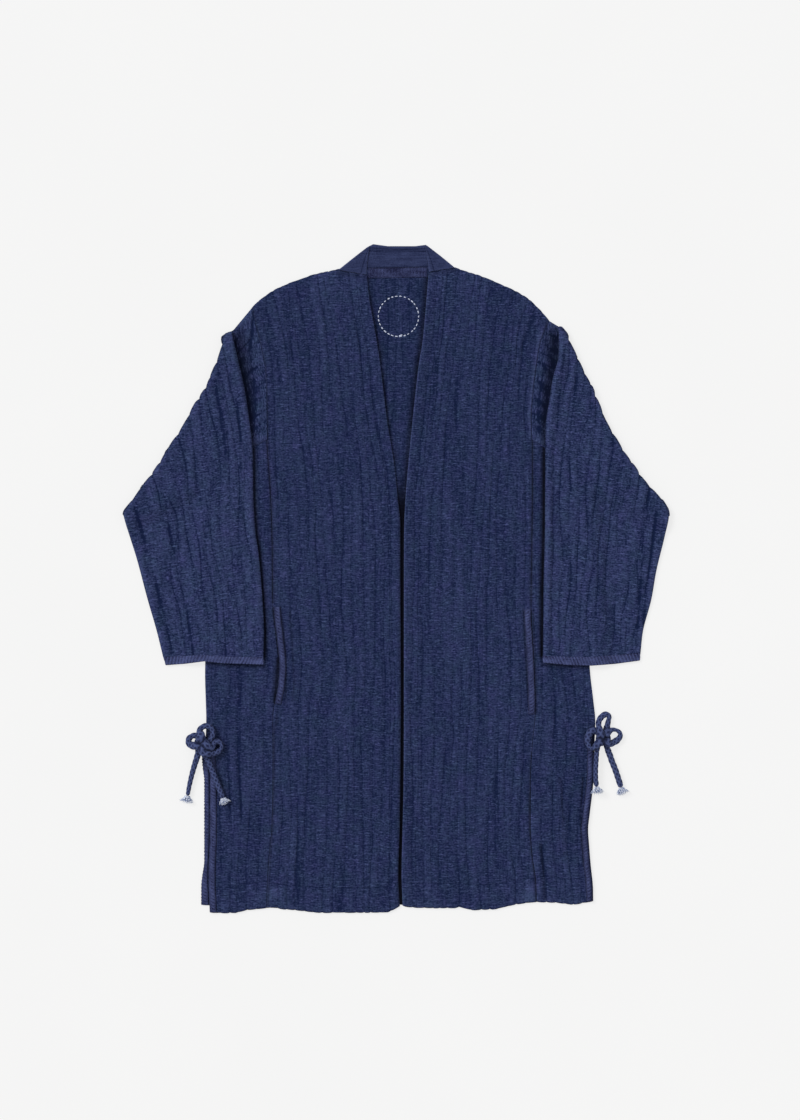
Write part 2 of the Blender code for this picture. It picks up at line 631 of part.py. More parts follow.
def make_collar(smooth, binding):
    """The collar band behind the neck, its two parts that fold over to the front, and the neck tape."""
    back_right = line_up(((464.5, -86), (498, -42)), 464.5 + GAP, 498, 2)
    back_left = line_up(((468, 84), (500.5, 44)), 468 + GAP, 500.5, 2)
    grid = patch(
        back_right,
        back_left,
        line_across((back_right[0], back_left[0])),
        line_across((back_right[-1],), COLLAR_TOP, (back_left[-1],)),
        lambda v: [column / COLLAR_COLUMNS for column in range(COLLAR_COLUMNS + 1)],
    )
    cloth_wall("collar_back", grid, lambda point: 0.0, plain_top(BACK_TOP, 2, COLLAR_COLUMNS), smooth)

    for side, fold, free in (
        ("right", COLLAR_FOLD_RIGHT, FREE_EDGE_RIGHT),
        ("left", COLLAR_FOLD_LEFT, FREE_EDGE_LEFT),
    ):
        outer = line_up(fold, min(fold)[0] + GAP, max(fold)[0], 4)
        inner = line_up(free, min(free)[0] + GAP, max(free)[0], 4)
        strip(f"collar_{side}", outer, inner, FRONT_UNDER, CLOTH, smooth, columns=4)

    tape_right, tape_left = Vector((-42.0, 450.0)), Vector((46.0, 451.5))
    rise = Vector((0, TAPE_WIDTH - 2 * GAP))
    strip(
        "neck_tape",
        [tape_right, tape_right + rise],
        [tape_left, tape_left + rise],
        BACK_TOP + GAP,
        BAND,
        binding,
        columns=6,
    )


def make_welts(binding):
    """The ribbed strips along the pocket mouths, on the front panels' edges."""
    for side, seam in (("right", SEAM_RIGHT), ("left", SEAM_LEFT)):
        inward = 1 if side == "right" else -1
        low, high = POCKETS[side]
        edge = line_up(seam, low, high, WELT_ROWS)
        near = beside(edge, inward * 2 * GAP)
        far = beside(edge, inward * BAND_WIDTH)
        strip(f"pocket_welt_{side}", near, far, FRONT_TOP + GAP, BAND, binding)


def make_slit_bands(binding):
    """The ribbed strips along the side slits: on both fronts, and on the back where it shows."""
    for side, edge in (("right", SIDE_RIGHT), ("left", SIDE_LEFT)):
        inward = 1 if side == "right" else -1
        line = line_up(edge, min(edge)[0] + 2 * GAP, SLIT_TOP, SLIT_ROWS)
        near = beside(line, inward * 2 * GAP)
        far = beside(line, inward * BAND_WIDTH)
        strip(f"slit_band_{side}", near, far, FRONT_TOP + GAP, BAND, binding)
    low, high = min(BACK_SIDE_RIGHT)[0] + 2 * GAP, SLIT_TOP - BAND_WIDTH
    near = beside(line_up(BACK_SIDE_RIGHT, low, high, SLIT_ROWS), 2 * GAP)
    far = beside(line_up(SIDE_RIGHT, low, high, SLIT_ROWS), -2 * GAP)
    strip("slit_band_right_back", near, far, BACK_TOP + GAP, BAND, binding)


def smooth_route(points, count):
    """Evenly spread points on a smooth curve through a route's own points."""
    ends = [2 * points[0] - points[1], *points, 2 * points[-1] - points[-2]]
    dense = []
    for before, start, end, after in zip(ends, ends[1:], ends[2:], ends[3:]):
        for step in range(12):
            t = step / 12
            dense.append(
                0.5 * (
                    2 * start
                    + (end - before) * t
                    + (2 * before - 5 * start + 4 * end - after) * t ** 2
                    + (3 * start - before - 3 * end + after) * t ** 3
                )
            )
    dense.append(points[-1].copy())
    lengths = [0.0]
    for before, after in zip(dense, dense[1:]):
        lengths.append(lengths[-1] + (after - before).length)
    spread = []
    index = 0
    for step in range(count + 1):
        target = lengths[-1] * step / count
        while index < len(dense) - 2 and lengths[index + 1] < target:
            index += 1
        part = (target - lengths[index]) / (lengths[index + 1] - lengths[index])
        spread.append(dense[index].lerp(dense[index + 1], part))
    return spread


def rest_height(x, y, side):
    """Height that the tie's cord lies on: the coat, its edge, or the surface beside it."""
    out = -1 if side == "right" else 1
    fronts, backs = (SIDE_RIGHT, BACK_SIDE_RIGHT) if side == "right" else (SIDE_LEFT, BACK_SIDE_LEFT)
    edge = max(out * smooth_value(fronts, y), out * smooth_value(backs, y))
    beyond = out * x - edge - CORD / 2
    return GAP + (FRONT_TOP + GAP + BAND) * (1 - soft_step(beyond / EDGE_DROP))


def cord_tube(name, points, material):
    """A round cord through points in millimetres, its ends closed."""
    curve = bpy.data.curves.new(name, "CURVE")
    curve.dimensions = "3D"
    curve.bevel_depth = CORD / 2 * MM
    curve.bevel_resolution = CORD_RESOLUTION
    curve.use_fill_caps = True
    spline = curve.splines.new("POLY")
    spline.points.add(len(points) - 1)
    for target, point in zip(spline.points, points):
        target.co = (*(point * MM), 1.0)
    curve.materials.append(material)
    piece = bpy.data.objects.new(name, curve)
    bpy.context.scene.collection.objects.link(piece)
    return piece


def make_tuft(name, tip, along, material):
    """A frayed cord end: a round head whose outer faces are drawn out into three-sided strands."""
    mesh = bmesh.new()
    bmesh.ops.create_icosphere(mesh, subdivisions=2, radius=TUFT_RADIUS)
    outer = [face for face in mesh.faces if face.normal.dot(along) > 0.3]
    bmesh.ops.inset_individual(mesh, faces=outer, thickness=0.35)
    strands = bmesh.ops.extrude_discrete_faces(mesh, faces=outer)["faces"]
    for index, face in enumerate(strands):
        away = (face.normal * TUFT_FLARE + along).normalized()
        away.z = max(away.z, 0.0) * 0.45
        reach = TUFT_STRAND * (0.8 + 0.2 * sin(2.4 * index))
        middle = face.calc_center_median()
        for vertex in face.verts:
            vertex.co = middle + (vertex.co - middle) * 0.8 + away * reach
    place = (tip + along * (TUFT_RADIUS + GAP)) * MM
    for vertex in mesh.verts:
        vertex.co.z *= TUFT_FLATNESS
        vertex.co = vertex.co * MM + place
    finish_piece(name, mesh, material)


def make_ties(cord, frayed):
    """The ties at the tops of the slits: a knot of three loops, two free ends and their tufts."""
    for side, (middle_x, middle_y) in KNOT_PLACE.items():
        route = []
        for across, up, level in KNOT_ROUTE[side]:
            x, y = middle_x + across, middle_y + up
            lift = CORD / 2 + (CORD + GAP) / 2 * (level + 1)
            route.append(Vector((x, y, rest_height(x, y, side) + lift)))
        knot = smooth_route(route, KNOT_POINTS)
        cord_tube(f"tie_{side}_knot", knot, cord)
        outer_end, inner_end = ("back", "front") if side == "right" else ("front", "back")
        for end, tip, before in ((outer_end, knot[0], knot[1]), (inner_end, knot[-1], knot[-2])):
            away = (tip - before).normalized()
            start = tip + away * GAP
            points = [start, start + away * CORD / 2, start + away * CORD]
            for across, up in END_ROUTE[f"{side}_{end}"]:
                x, y = middle_x + across, middle_y + up
                points.append(Vector((x, y, rest_height(x, y, side) + CORD / 2)))
            free = smooth_route(points, END_POINTS)
            cord_tube(f"tie_{side}_{end}", free, cord)
            make_tuft(f"tuft_{side}_{end}", free[-1], (free[-1] - free[-2]).normalized(), frayed)


def main():
    clear_scene()
    indigo = cloth_material("indigo_cloth", (0.020, 0.030, 0.078))
    smooth = cloth_material("smooth_indigo", (0.026, 0.036, 0.090))
    binding = cloth_material("purple_indigo", (0.028, 0.030, 0.088))
    cord = cloth_material("cord_indigo", (0.030, 0.044, 0.110))
    frayed = cloth_material("frayed_ends", (0.42, 0.47, 0.62))
    make_back(indigo)
    make_fronts(indigo)
    make_side_panels(indigo)
    make_sleeve_roots(indigo)
    make_forearms(indigo)
    make_cuffs(binding)
    make_collar(smooth, binding)
    make_welts(binding)
    make_slit_bands(binding)
    make_ties(cord, frayed)


main()
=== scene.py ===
# %% [markdown]
# # A crinkled indigo work coat, laid flat
#
# The real coat is cut from straight panels of thick indigo cotton. The cloth is washed until it shrinks
# into soft lengthwise ridges, and then sewn with turned edges, ribbed bindings and knotted cord ties.
#
# Its solids come first, as a fixed frame in metres: every piece made here lies where its solid lies, and
# replaces it with finer cloth.

# %% Load the coat's solids
from math import asin, cos, degrees, pi, radians, sin

import bmesh
import bpy
import numpy as np
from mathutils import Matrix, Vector
from mathutils.bvhtree import BVHTree


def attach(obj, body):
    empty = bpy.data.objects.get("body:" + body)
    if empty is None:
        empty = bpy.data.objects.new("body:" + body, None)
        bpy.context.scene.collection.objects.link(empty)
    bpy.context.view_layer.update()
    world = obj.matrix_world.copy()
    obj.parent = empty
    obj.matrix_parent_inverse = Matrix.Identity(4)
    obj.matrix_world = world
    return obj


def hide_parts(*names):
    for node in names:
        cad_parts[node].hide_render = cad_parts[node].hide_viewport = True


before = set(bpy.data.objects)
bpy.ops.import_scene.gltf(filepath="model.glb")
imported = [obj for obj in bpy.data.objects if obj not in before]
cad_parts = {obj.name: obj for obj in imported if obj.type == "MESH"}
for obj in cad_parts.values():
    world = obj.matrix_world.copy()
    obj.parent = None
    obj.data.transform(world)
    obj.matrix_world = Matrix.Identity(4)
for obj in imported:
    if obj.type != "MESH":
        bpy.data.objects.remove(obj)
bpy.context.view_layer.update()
MM = 0.001

# %% [markdown]
# ## Camera, light and floor
#
# The coat is seen from straight above, so the camera hangs over it and looks down. It could stand close
# with a wide lens, but then the sleeves would lean outwards. Here it hangs four metres up with a long
# lens, and one pixel of the picture covers 1.5 mm of the floor.
#
# The picture has almost no shadows, so most of the light is an even white sky. A broad soft sun from the
# upper left adds just enough direction to bring out the ridges of the cloth.

# %% Hang the camera
PICTURE = (800, 1120)
MM_PER_PIXEL = 1.5
COAT_PIXEL = (396.5, 578.5)
CAMERA_HEIGHT = 4.0
SENSOR = 36.0

camera_data = bpy.data.cameras.new("overhead_camera")
camera_data.sensor_fit = "VERTICAL"
camera_data.sensor_height = SENSOR
camera_data.lens = SENSOR * CAMERA_HEIGHT / (PICTURE[1] * MM_PER_PIXEL * MM)
camera = bpy.data.objects.new("overhead_camera", camera_data)
camera.location = (
    (PICTURE[0] / 2 - COAT_PIXEL[0]) * MM_PER_PIXEL * MM,
    (COAT_PIXEL[1] - PICTURE[1] / 2) * MM_PER_PIXEL * MM,
    CAMERA_HEIGHT,
)
bpy.context.scene.collection.objects.link(camera)
bpy.context.scene.camera = camera
bpy.context.scene.view_settings.view_transform = "Standard"
print("camera at", tuple(round(x, 4) for x in camera.location), "lens", round(camera_data.lens, 1), "mm")

# %% Light it with a white sky and a broad soft sun
SKY_SHARE = 0.62
SUN_TILT = (radians(27), radians(-42))
SUN_ANGLE = radians(25)

world = bpy.data.worlds.new("white_sky")
world.use_nodes = True
sky = world.node_tree.nodes["Background"]
sky.inputs["Color"].default_value = (1.0, 1.0, 1.0, 1.0)
sky.inputs["Strength"].default_value = SKY_SHARE
bpy.context.scene.world = world

sun_data = bpy.data.lights.new("soft_sun", "SUN")
sun_data.angle = SUN_ANGLE
sun = bpy.data.objects.new("soft_sun", sun_data)
sun.rotation_euler = (-SUN_TILT[0], SUN_TILT[1], 0.0)
bpy.context.scene.collection.objects.link(sun)
sun_height = cos(SUN_TILT[0]) * cos(SUN_TILT[1])
sun_data.energy = (1.0 - SKY_SHARE) * pi / sun_height
print("sun energy", round(sun_data.energy, 3), "height above the floor", round(degrees(asin(sun_height)), 1))

# %% [markdown]
# ## Shader maths as Python expressions
#
# A material is a graph of small nodes. Wiring dozens of Math nodes by hand hides the idea, so a small
# class wraps an output socket: adding, multiplying or dividing two wires adds the Math node that does it.
# A second class holds a material, and its method node() adds every other kind of node.

# %% Wrap a socket
class Wire:
    """An output socket that Python arithmetic works on: each operator adds one Math node."""

    def __init__(self, tree, socket):
        self.tree = tree
        self.socket = socket

    def math(self, operation, *values):
        node = self.tree.nodes.new("ShaderNodeMath")
        node.operation = operation
        for target, value in zip(node.inputs, values):
            if isinstance(value, Wire):
                self.tree.links.new(value.socket, target)
            else:
                target.default_value = value
        return Wire(self.tree, node.outputs[0])

    def __add__(self, other):
        return self.math("ADD", self, other)

    def __radd__(self, other):
        return self.math("ADD", other, self)

    def __sub__(self, other):
        return self.math("SUBTRACT", self, other)

    def __rsub__(self, other):
        return self.math("SUBTRACT", other, self)

    def __mul__(self, other):
        return self.math("MULTIPLY", self, other)

    def __rmul__(self, other):
        return self.math("MULTIPLY", other, self)

    def __truediv__(self, other):
        return self.math("DIVIDE", self, other)

    def __abs__(self):
        return self.math("ABSOLUTE", self)

    def above(self, edge, width):
        """0 below an edge, 1 above it, and an even slope of the given width between."""
        slope = (self - edge) / width + 0.5
        return slope.math("MINIMUM", slope.math("MAXIMUM", slope, 0.0), 1.0)


print("a wire adds Math nodes for +, -, *, / and abs")


# %% Wrap a material
class Finish:
    """A new material on a Principled shader. node() adds any node, and feed() sets a shader input."""

    def __init__(self, name, roughness, specular=0.1, sheen=0.0):
        self.material = bpy.data.materials.new(name)
        self.material.use_nodes = True
        self.tree = self.material.node_tree
        self.shader = self.tree.nodes["Principled BSDF"]
        self.shader.inputs["Roughness"].default_value = roughness
        self.shader.inputs["Specular IOR Level"].default_value = specular
        self.shader.inputs["Sheen Weight"].default_value = sheen

    def put(self, target, value):
        if isinstance(value, Wire):
            self.tree.links.new(value.socket, target)
        else:
            target.default_value = value

    def node(self, kind, settings, values, output=0):
        node = self.tree.nodes.new(kind)
        for key, value in settings.items():
            setattr(node, key, value)
        for key, value in values.items():
            self.put(node.inputs[key], value)
        return Wire(self.tree, node.outputs[output])

    def feed(self, name, value):
        self.put(self.shader.inputs[name], value)

    def attribute(self, name):
        return self.node("ShaderNodeAttribute", {"attribute_name": name}, {}, output="Fac")

    def stretched(self, place, scale):
        return self.node("ShaderNodeMapping", {}, {"Vector": place, "Scale": scale})

    def noise(self, place, scale, detail=2.0, roughness=0.55):
        """Noise about 0 whose grains are 1 / scale metres long each way."""
        where = self.stretched(place, scale)
        values = {"Vector": where, "Scale": 1.0, "Detail": detail, "Roughness": roughness}
        return self.node("ShaderNodeTexNoise", {}, values) - 0.5

    def blend(self, share, first, second):
        return self.node("ShaderNodeMix", {"data_type": "RGBA"}, {0: share, 6: first, 7: second}, output=2)

    def bump(self, height, distance, strength=1.0):
        normal = self.node(
            "ShaderNodeBump", {}, {"Height": height, "Distance": distance, "Strength": strength}
        )
        self.feed("Normal", normal)


print("shader helpers ready")

# %% [markdown]
# ## The pale floor
#
# The coat lies on a plain pale sheet that is lit from behind, as on a light table, so it throws hardly any
# shadow. A white world would be simpler, but then nothing would carry the faint shadow that is left. So
# the floor is one big grid that glows and reflects at once, with a very faint mottle.

# %% Lay the floor
FLOOR_HALF = 6.0
FLOOR_TONE = 0.18
FLOOR_GLOW = 0.733

paper = Finish("pale_paper", roughness=0.9)
spots = paper.node("ShaderNodeTexCoord", {}, {}, output="Object")
mottle = paper.noise(spots, (3.0, 3.0, 3.0))
darker = (FLOOR_TONE - 0.010, FLOOR_TONE - 0.010, FLOOR_TONE - 0.012, 1.0)
lighter = (FLOOR_TONE + 0.010, FLOOR_TONE + 0.010, FLOOR_TONE + 0.008, 1.0)
paper.feed("Base Color", paper.blend(mottle + 0.5, darker, lighter))
paper.feed("Emission Color", (1.0, 1.0, 1.0, 1.0))
paper.feed("Emission Strength", FLOOR_GLOW)


def new_object(name, data):
    thing = bpy.data.objects.new(name, data)
    bpy.context.scene.collection.objects.link(thing)
    return thing


floor_mesh = bmesh.new()
bmesh.ops.create_grid(floor_mesh, x_segments=4, y_segments=4, size=FLOOR_HALF)
floor_data = bpy.data.meshes.new("floor")
floor_mesh.to_mesh(floor_data)
floor_mesh.free()
floor_data.materials.append(paper.material)
floor = new_object("floor", floor_data)
print("floor", 2 * FLOOR_HALF, "m wide")

# %% [markdown]
# ## Lines of the coat
#
# The coat's own outline and seams are short tables in millimetres. The solids follow the same lines, but
# two of the edges beside the slits were read once more for the cloth, and differ from the solids' by a few
# millimetres. A line that runs up the coat is a table of (height, place across) rows, and one that runs
# across it is a table of (place across, height) rows. Heights are measured from the middle of the coat,
# and right and left are the wearer's, so the wearer's right is at -X.

# %% Tables of seams, edges and folds
SEAM_RIGHT = (
    (406, -217), (370, -209), (320, -198), (268, -195), (208, -194), (116, -188), (47, -186), (-40, -185),
    (-88, -180), (-128, -176), (-160, -178), (-205, -185), (-302, -185), (-374, -187), (-431, -192),
    (-494, -195),
)
SEAM_LEFT = (
    (386, 229.5), (356, 217), (308, 209), (248, 203), (208, 204), (148, 204), (47, 203), (-46, 202),
    (-122, 206), (-202, 208), (-245, 204), (-302, 201), (-374, 201), (-418, 204), (-452, 209), (-485, 210),
)
FRONT_EDGE_RIGHT = (
    (454, -44), (416, -40), (377, -33), (328, -25), (238, -14), (208, -9), (169, -3), (122, 2), (85, 6),
    (28, 6), (-182, 7), (-302, 6), (-374, 5), (-446, 3), (-491, 5),
)
FRONT_EDGE_LEFT = (
    (458, 48), (410, 44), (356, 39), (319, 33), (238, 24), (208, 21), (176, 18), (130, 14), (85, 11.5),
    (28, 11), (-182, 11), (-302, 10.5), (-374, 9), (-446, 7.5), (-491, 9),
)
SIDE_RIGHT = (
    (166, -264), (120, -268), (60, -275), (-60, -284), (-137, -287), (-182, -286), (-235, -284), (-302, -280),
    (-388, -280), (-446, -282), (-501, -280),
)
SIDE_LEFT = (
    (166, 268), (120, 272), (60, 279), (-60, 287), (-137, 290), (-182, 295), (-212, 298), (-255, 296.6),
    (-300, 295.6), (-323, 293.4), (-351, 290), (-375, 287.4), (-399, 288.8), (-431, 291.4), (-459, 294.4),
    (-484, 295),
)
BACK_SIDE_RIGHT = (
    (208, -194), (200, -205), (166, -264), (120, -268), (60, -275), (-60, -284), (-137, -287), (-212, -286.4),
    (-238, -287.4), (-254, -291.2), (-270, -292.2), (-286, -290.8), (-302, -288.8), (-423, -288.8),
    (-447, -292), (-459, -293.2), (-490, -293.4),
)
BACK_SIDE_LEFT = (
    (208, 204), (200, 215), (166, 268), (120, 272), (60, 279), (-60, 286), (-137, 289), (-182, 292),
    (-212, 294), (-323, 290), (-375, 284.5), (-431, 288.5), (-480, 292),
)
INNER_FOREARM_RIGHT = (
    (371, -247), (321, -235.5), (280, -226.5), (228, -219), (190, -215), (116, -214), (70, -211), (35, -206),
    (-22, -201), (-77, -198), (-117.5, -199),
)
INNER_FOREARM_LEFT = (
    (377.5, 243), (332, 242.5), (301, 234), (263, 228), (229, 223), (148, 222.5), (58, 222), (-17, 220),
    (-101, 219.5), (-115.5, 219),
)
OUTER_FOREARM_RIGHT = ((95, -409), (73, -403), (28, -389), (-32, -373), (-77, -360), (-117.5, -350))
OUTER_FOREARM_LEFT = ((95, 409), (58, 401), (13, 390), (-32, 382), (-77, 370), (-111, 366))
SHOULDER_RIGHT = (
    (-217, 406), (-206, 417), (-188, 430), (-163, 442), (-130, 454), (-110, 459), (-88, 461.5),
)
SHOULDER_LEFT = (
    (229.5, 386), (216.5, 401.5), (201, 417), (181, 430), (155, 442), (125, 454), (103, 461), (88, 465),
)
NECK_SEAM_RIGHT = ((-88, 461.5), (-44, 454))
NECK_SEAM_LEFT = ((88, 465), (48, 458))
NECKLINE = ((-86, 464.5), (84, 468))
COLLAR_TOP = ((-42, 498), (-35, 501.5), (-13, 498.5), (28, 498.5), (44, 500.5))
FREE_EDGE_RIGHT = ((455, -44.5), (478, -43), (497, -40.5))
FREE_EDGE_LEFT = ((459, 48.5), (478, 46.5), (499, 43))
COLLAR_FOLD_RIGHT = ((462, -88), (480, -65.5), (497, -43.5))
COLLAR_FOLD_LEFT = ((465.5, 88), (482, 68), (499, 46))
HEM_RIGHT = ((-195, -494), (-188, -493), (-166, -496), (-116, -501), (-70, -501), (-12, -500.5), (5, -491))
HEM_LEFT = ((210, -485), (187, -487), (146, -496), (112, -497), (95, -493), (88, -494), (29, -494), (9, -491))
SIDE_HEM_RIGHT = ((-280, -501), (-241, -501.5), (-224, -497), (-195, -494))
SIDE_HEM_LEFT = ((295, -484), (263, -489), (239, -486), (210, -485))
BACK_HEM = ((-292, -490), (-180, -491), (-60, -493), (10, -489), (100, -490), (200, -484), (292, -480))
FOLD_RIGHT = (
    (-407, 103), (-395, 119), (-380.5, 140), (-361, 163), (-345, 191), (-328, 215), (-314.5, 239),
    (-300.5, 264), (-286.5, 287), (-275.5, 311), (-266.5, 334), (-261.5, 350), (-260.5, 363),
)
FOLD_LEFT = (
    (407, 103), (397, 119), (378.5, 139), (358, 166), (341, 190), (327.5, 214), (314, 238), (303.5, 262),
    (293, 285), (281, 310), (270.5, 334), (259, 357.5), (254, 367.5), (247.5, 376),
)
CUFF_SEAM_RIGHT = ((-350, -117.5), (-303, -115), (-284, -114.5), (-258, -117), (-199, -117.5))
CUFF_SEAM_LEFT = ((366, -111), (328, -114.5), (292, -117.5), (255, -117), (219, -115.5))
CUFF_END_RIGHT = ((-346, -130), (-318, -128), (-288, -124), (-258, -127), (-199, -129))
CUFF_END_LEFT = ((365, -123), (328, -128), (292, -130.5), (255, -129.5), (219, -126))
SEAMS = {"right": SEAM_RIGHT, "left": SEAM_LEFT}
SIDE_EDGES = {"right": (SIDE_RIGHT, BACK_SIDE_RIGHT), "left": (SIDE_LEFT, BACK_SIDE_LEFT)}
OUTWARD = {"right": -1, "left": 1}
print("armhole seams start at", SEAM_RIGHT[0], "and", SEAM_LEFT[0])

# %% Thicknesses and layers, in millimetres
CLOTH = 1.8
GAP = 0.3
BAND = 1.2
BAND_WIDTH = 10.5
BACK_TOP = CLOTH
FRONT_UNDER = BACK_TOP + GAP
FRONT_TOP = FRONT_UNDER + CLOTH
RIDGE = 1.5
FOREARM_UNDER = FRONT_TOP + RIDGE + GAP
FOREARM_THICK = 2 * CLOTH + GAP
FOREARM_CLEAR = 15.0
FOREARM_DROP = 24.0
FOLD_INSET = 1.5
UNDERARM = 208.0
FOLD_TIP = (407.0, 103.0)
SLIT_TOP = -235.0
POCKETS = {"right": (-188.0, -43.0), "left": (-203.0, -46.0)}
print("fronts lie from", FRONT_UNDER, "to", FRONT_TOP, "mm, forearms from", round(FOREARM_UNDER, 1), "mm")


# %% Read a table as a smooth line
def read_line(rows, places):
    """Values of a table of (place, value) rows at many places, straight past its ends."""
    rows = np.array(sorted(rows), float)
    at, value = rows[:, 0], rows[:, 1]
    slope = np.empty(len(at))
    slope[1:-1] = (value[2:] - value[:-2]) / (at[2:] - at[:-2])
    slope[0] = (value[1] - value[0]) / (at[1] - at[0])
    slope[-1] = (value[-1] - value[-2]) / (at[-1] - at[-2])
    places = np.asarray(places, float)
    index = np.clip(np.searchsorted(at, places, side="right") - 1, 0, len(at) - 2)
    span = at[index + 1] - at[index]
    rise = value[index + 1] - value[index]
    t = np.clip((places - at[index]) / span, 0, 1)
    steep = 3.0 * abs(rise) / span
    first = np.clip(slope[index], -steep, steep)
    last = np.clip(slope[index + 1], -steep, steep)
    inside = value[index] + (3 - 2 * t) * t * t * rise + span * t * (1 - t) * ((1 - t) * first - t * last)
    below = value[0] + slope[0] * (places - at[0])
    above = value[-1] + slope[-1] * (places - at[-1])
    return np.where(places < at[0], below, np.where(places > at[-1], above, inside))


def line_across(*tables):
    """A line across the coat as a function of its share, from several tables laid end to end."""
    points = [np.array(row, float) for table in tables for row in table]
    kept = [points[0]]
    for point in points[1:]:
        if np.linalg.norm(point - kept[-1]) > 0.01:
            kept.append(point)
    kept = np.array(kept)
    lengths = np.concatenate([[0.0], np.cumsum(np.linalg.norm(np.diff(kept, axis=0), axis=1))])

    def at(share):
        place = np.clip(share, 0, 1) * lengths[-1]
        return np.stack([np.interp(place, lengths, kept[:, 0]), np.interp(place, lengths, kept[:, 1])], -1)

    return at


print("side seam at the pocket:", round(float(read_line(SIDE_RIGHT, -100)), 1), "mm")

# %% [markdown]
# ## Cord ties
#
# At the top of each side slit sits a tie: one round braided cord, wound into a flat knot with three loops,
# whose two ends hang free and are frayed. A curve with a round bevel would be quick, but its surface is
# bare. Here a grid is rolled up along the route instead, so its points can follow the crossing strands of
# the braid. The route keeps within a few millimetres of the solids' own: each point also has a share of
# the width there, because a soft cord is pressed wide in the knot's middle and drawn thin round a loop.

# %% Routes of the ties
CORD = 8.0
KNOT_PLACE = {"right": (-292.0, -248.5), "left": (309.5, -240.0)}
KNOT_ROUTE = {
    "right": (
        (-5.0, -13.5, -1.0, 1.05), (-3.8, -7.6, -1.0, 1.2), (-5.8, -1.4, -1.0, 1.3),
        (-3.8, 4.4, 0.0, 1.35), (-0.6, 9.0, 1.0, 1.4), (0.0, 13.8, 0.4, 1.45), (-2.8, 19.6, -0.6, 1.05),
        (0.4, 25.2, -1.0, 0.95), (7.2, 28.0, -1.0, 0.95), (14.6, 24.8, -1.0, 0.9),
        (17.6, 17.6, -0.9, 0.85), (14.9, 9.4, -0.8, 0.95), (8.2, 2.0, -1.0, 1.2), (4.2, -3.0, 0.0, 1.35),
        (1.8, -7.4, 1.0, 1.3), (3.4, -12.4, 1.0, 1.15), (9.4, -13.4, 0.9, 1.1), (17.3, -12.8, -0.5, 1.1),
        (25.2, -10.4, -1.0, 1.0), (30.2, -4.8, -1.0, 0.65), (29.6, 1.4, -1.0, 0.7),
        (24.8, 4.9, -1.0, 0.85), (19.0, 2.6, -1.0, 1.0), (14.4, -4.2, 0.3, 1.2), (7.4, 1.2, 1.0, 1.3),
        (3.0, 5.4, 0.0, 1.35), (-1.6, 9.4, -1.0, 1.2), (-6.4, 12.4, -1.0, 1.05),
        (-12.7, 13.0, -1.0, 0.92), (-18.4, 9.0, -1.0, 1.0), (-19.4, 3.4, -1.0, 1.05),
        (-16.0, -0.6, -0.6, 1.2), (-11.2, -1.6, 0.4, 1.3), (-6.0, -1.6, 1.0, 1.3), (-2.4, -4.6, 0.0, 1.3),
        (1.8, -7.4, -1.0, 1.2), (5.0, -13.2, -1.0, 1.0), (9.0, -21.4, -1.0, 1.02),
    ),
    "left": (
        (-9.8, -18.6, -1.0, 0.86), (-9.0, -11.5, -1.0, 1.0), (-6.4, -4.8, -1.0, 1.3),
        (-5.2, 0.8, 0.0, 1.4), (-4.6, 6.4, 1.0, 1.35), (-5.4, 13.0, 0.6, 1.1), (-7.2, 20.0, -0.4, 0.95),
        (-6.4, 27.2, -1.0, 0.95), (-1.2, 33.8, -1.0, 1.0), (5.0, 36.6, -1.0, 0.95),
        (9.0, 33.2, -1.0, 0.8), (7.7, 25.4, -1.0, 0.85), (5.8, 16.2, -1.0, 1.1), (4.6, 8.4, -1.0, 1.4),
        (4.8, 1.4, 0.0, 1.4), (5.2, -4.6, 1.0, 1.3), (9.0, -7.4, 0.5, 1.15), (14.6, -5.8, -0.7, 1.1),
        (20.4, -2.8, -1.0, 1.1), (25.0, 2.2, -1.0, 0.9), (25.6, 8.0, -1.0, 0.75),
        (21.0, 12.4, -1.0, 0.65), (14.6, 13.6, -0.8, 0.7), (9.2, 12.0, 0.3, 1.05), (4.6, 8.6, 1.0, 1.4),
        (-0.4, 6.8, 0.0, 1.4), (-5.2, 7.6, -1.0, 1.35), (-10.4, 11.6, -1.0, 1.15),
        (-16.2, 12.4, -1.0, 1.15), (-21.6, 6.6, -1.0, 1.2), (-23.2, -2.0, -1.0, 1.1),
        (-21.6, -10.2, -1.0, 0.85), (-17.4, -14.4, -0.6, 0.62), (-11.0, -9.6, 0.5, 1.15),
        (-6.2, -4.2, 1.0, 1.4), (-0.6, -4.0, 0.0, 1.45), (5.2, -4.6, -1.0, 1.2), (5.8, -12.4, -1.0, 1.0),
        (8.6, -20.5, -1.0, 1.02),
    ),
}
END_ROUTE = {
    "right_back": ((-9.4, -27.5), (-14.2, -44.0), (-18.4, -62.0), (-21.0, -77.0)),
    "right_front": ((14.0, -32.5), (19.2, -46.0), (25.2, -61.5), (32.6, -80.0)),
    "left_front": ((-10.8, -33.0), (-11.5, -46.0), (-11.4, -60.0), (-10.0, -71.5)),
    "left_back": ((13.0, -33.0), (18.2, -46.0), (22.9, -60.0), (27.0, -73.0)),
}
print("the knots' routes have", [len(route) for route in KNOT_ROUTE.values()], "points")


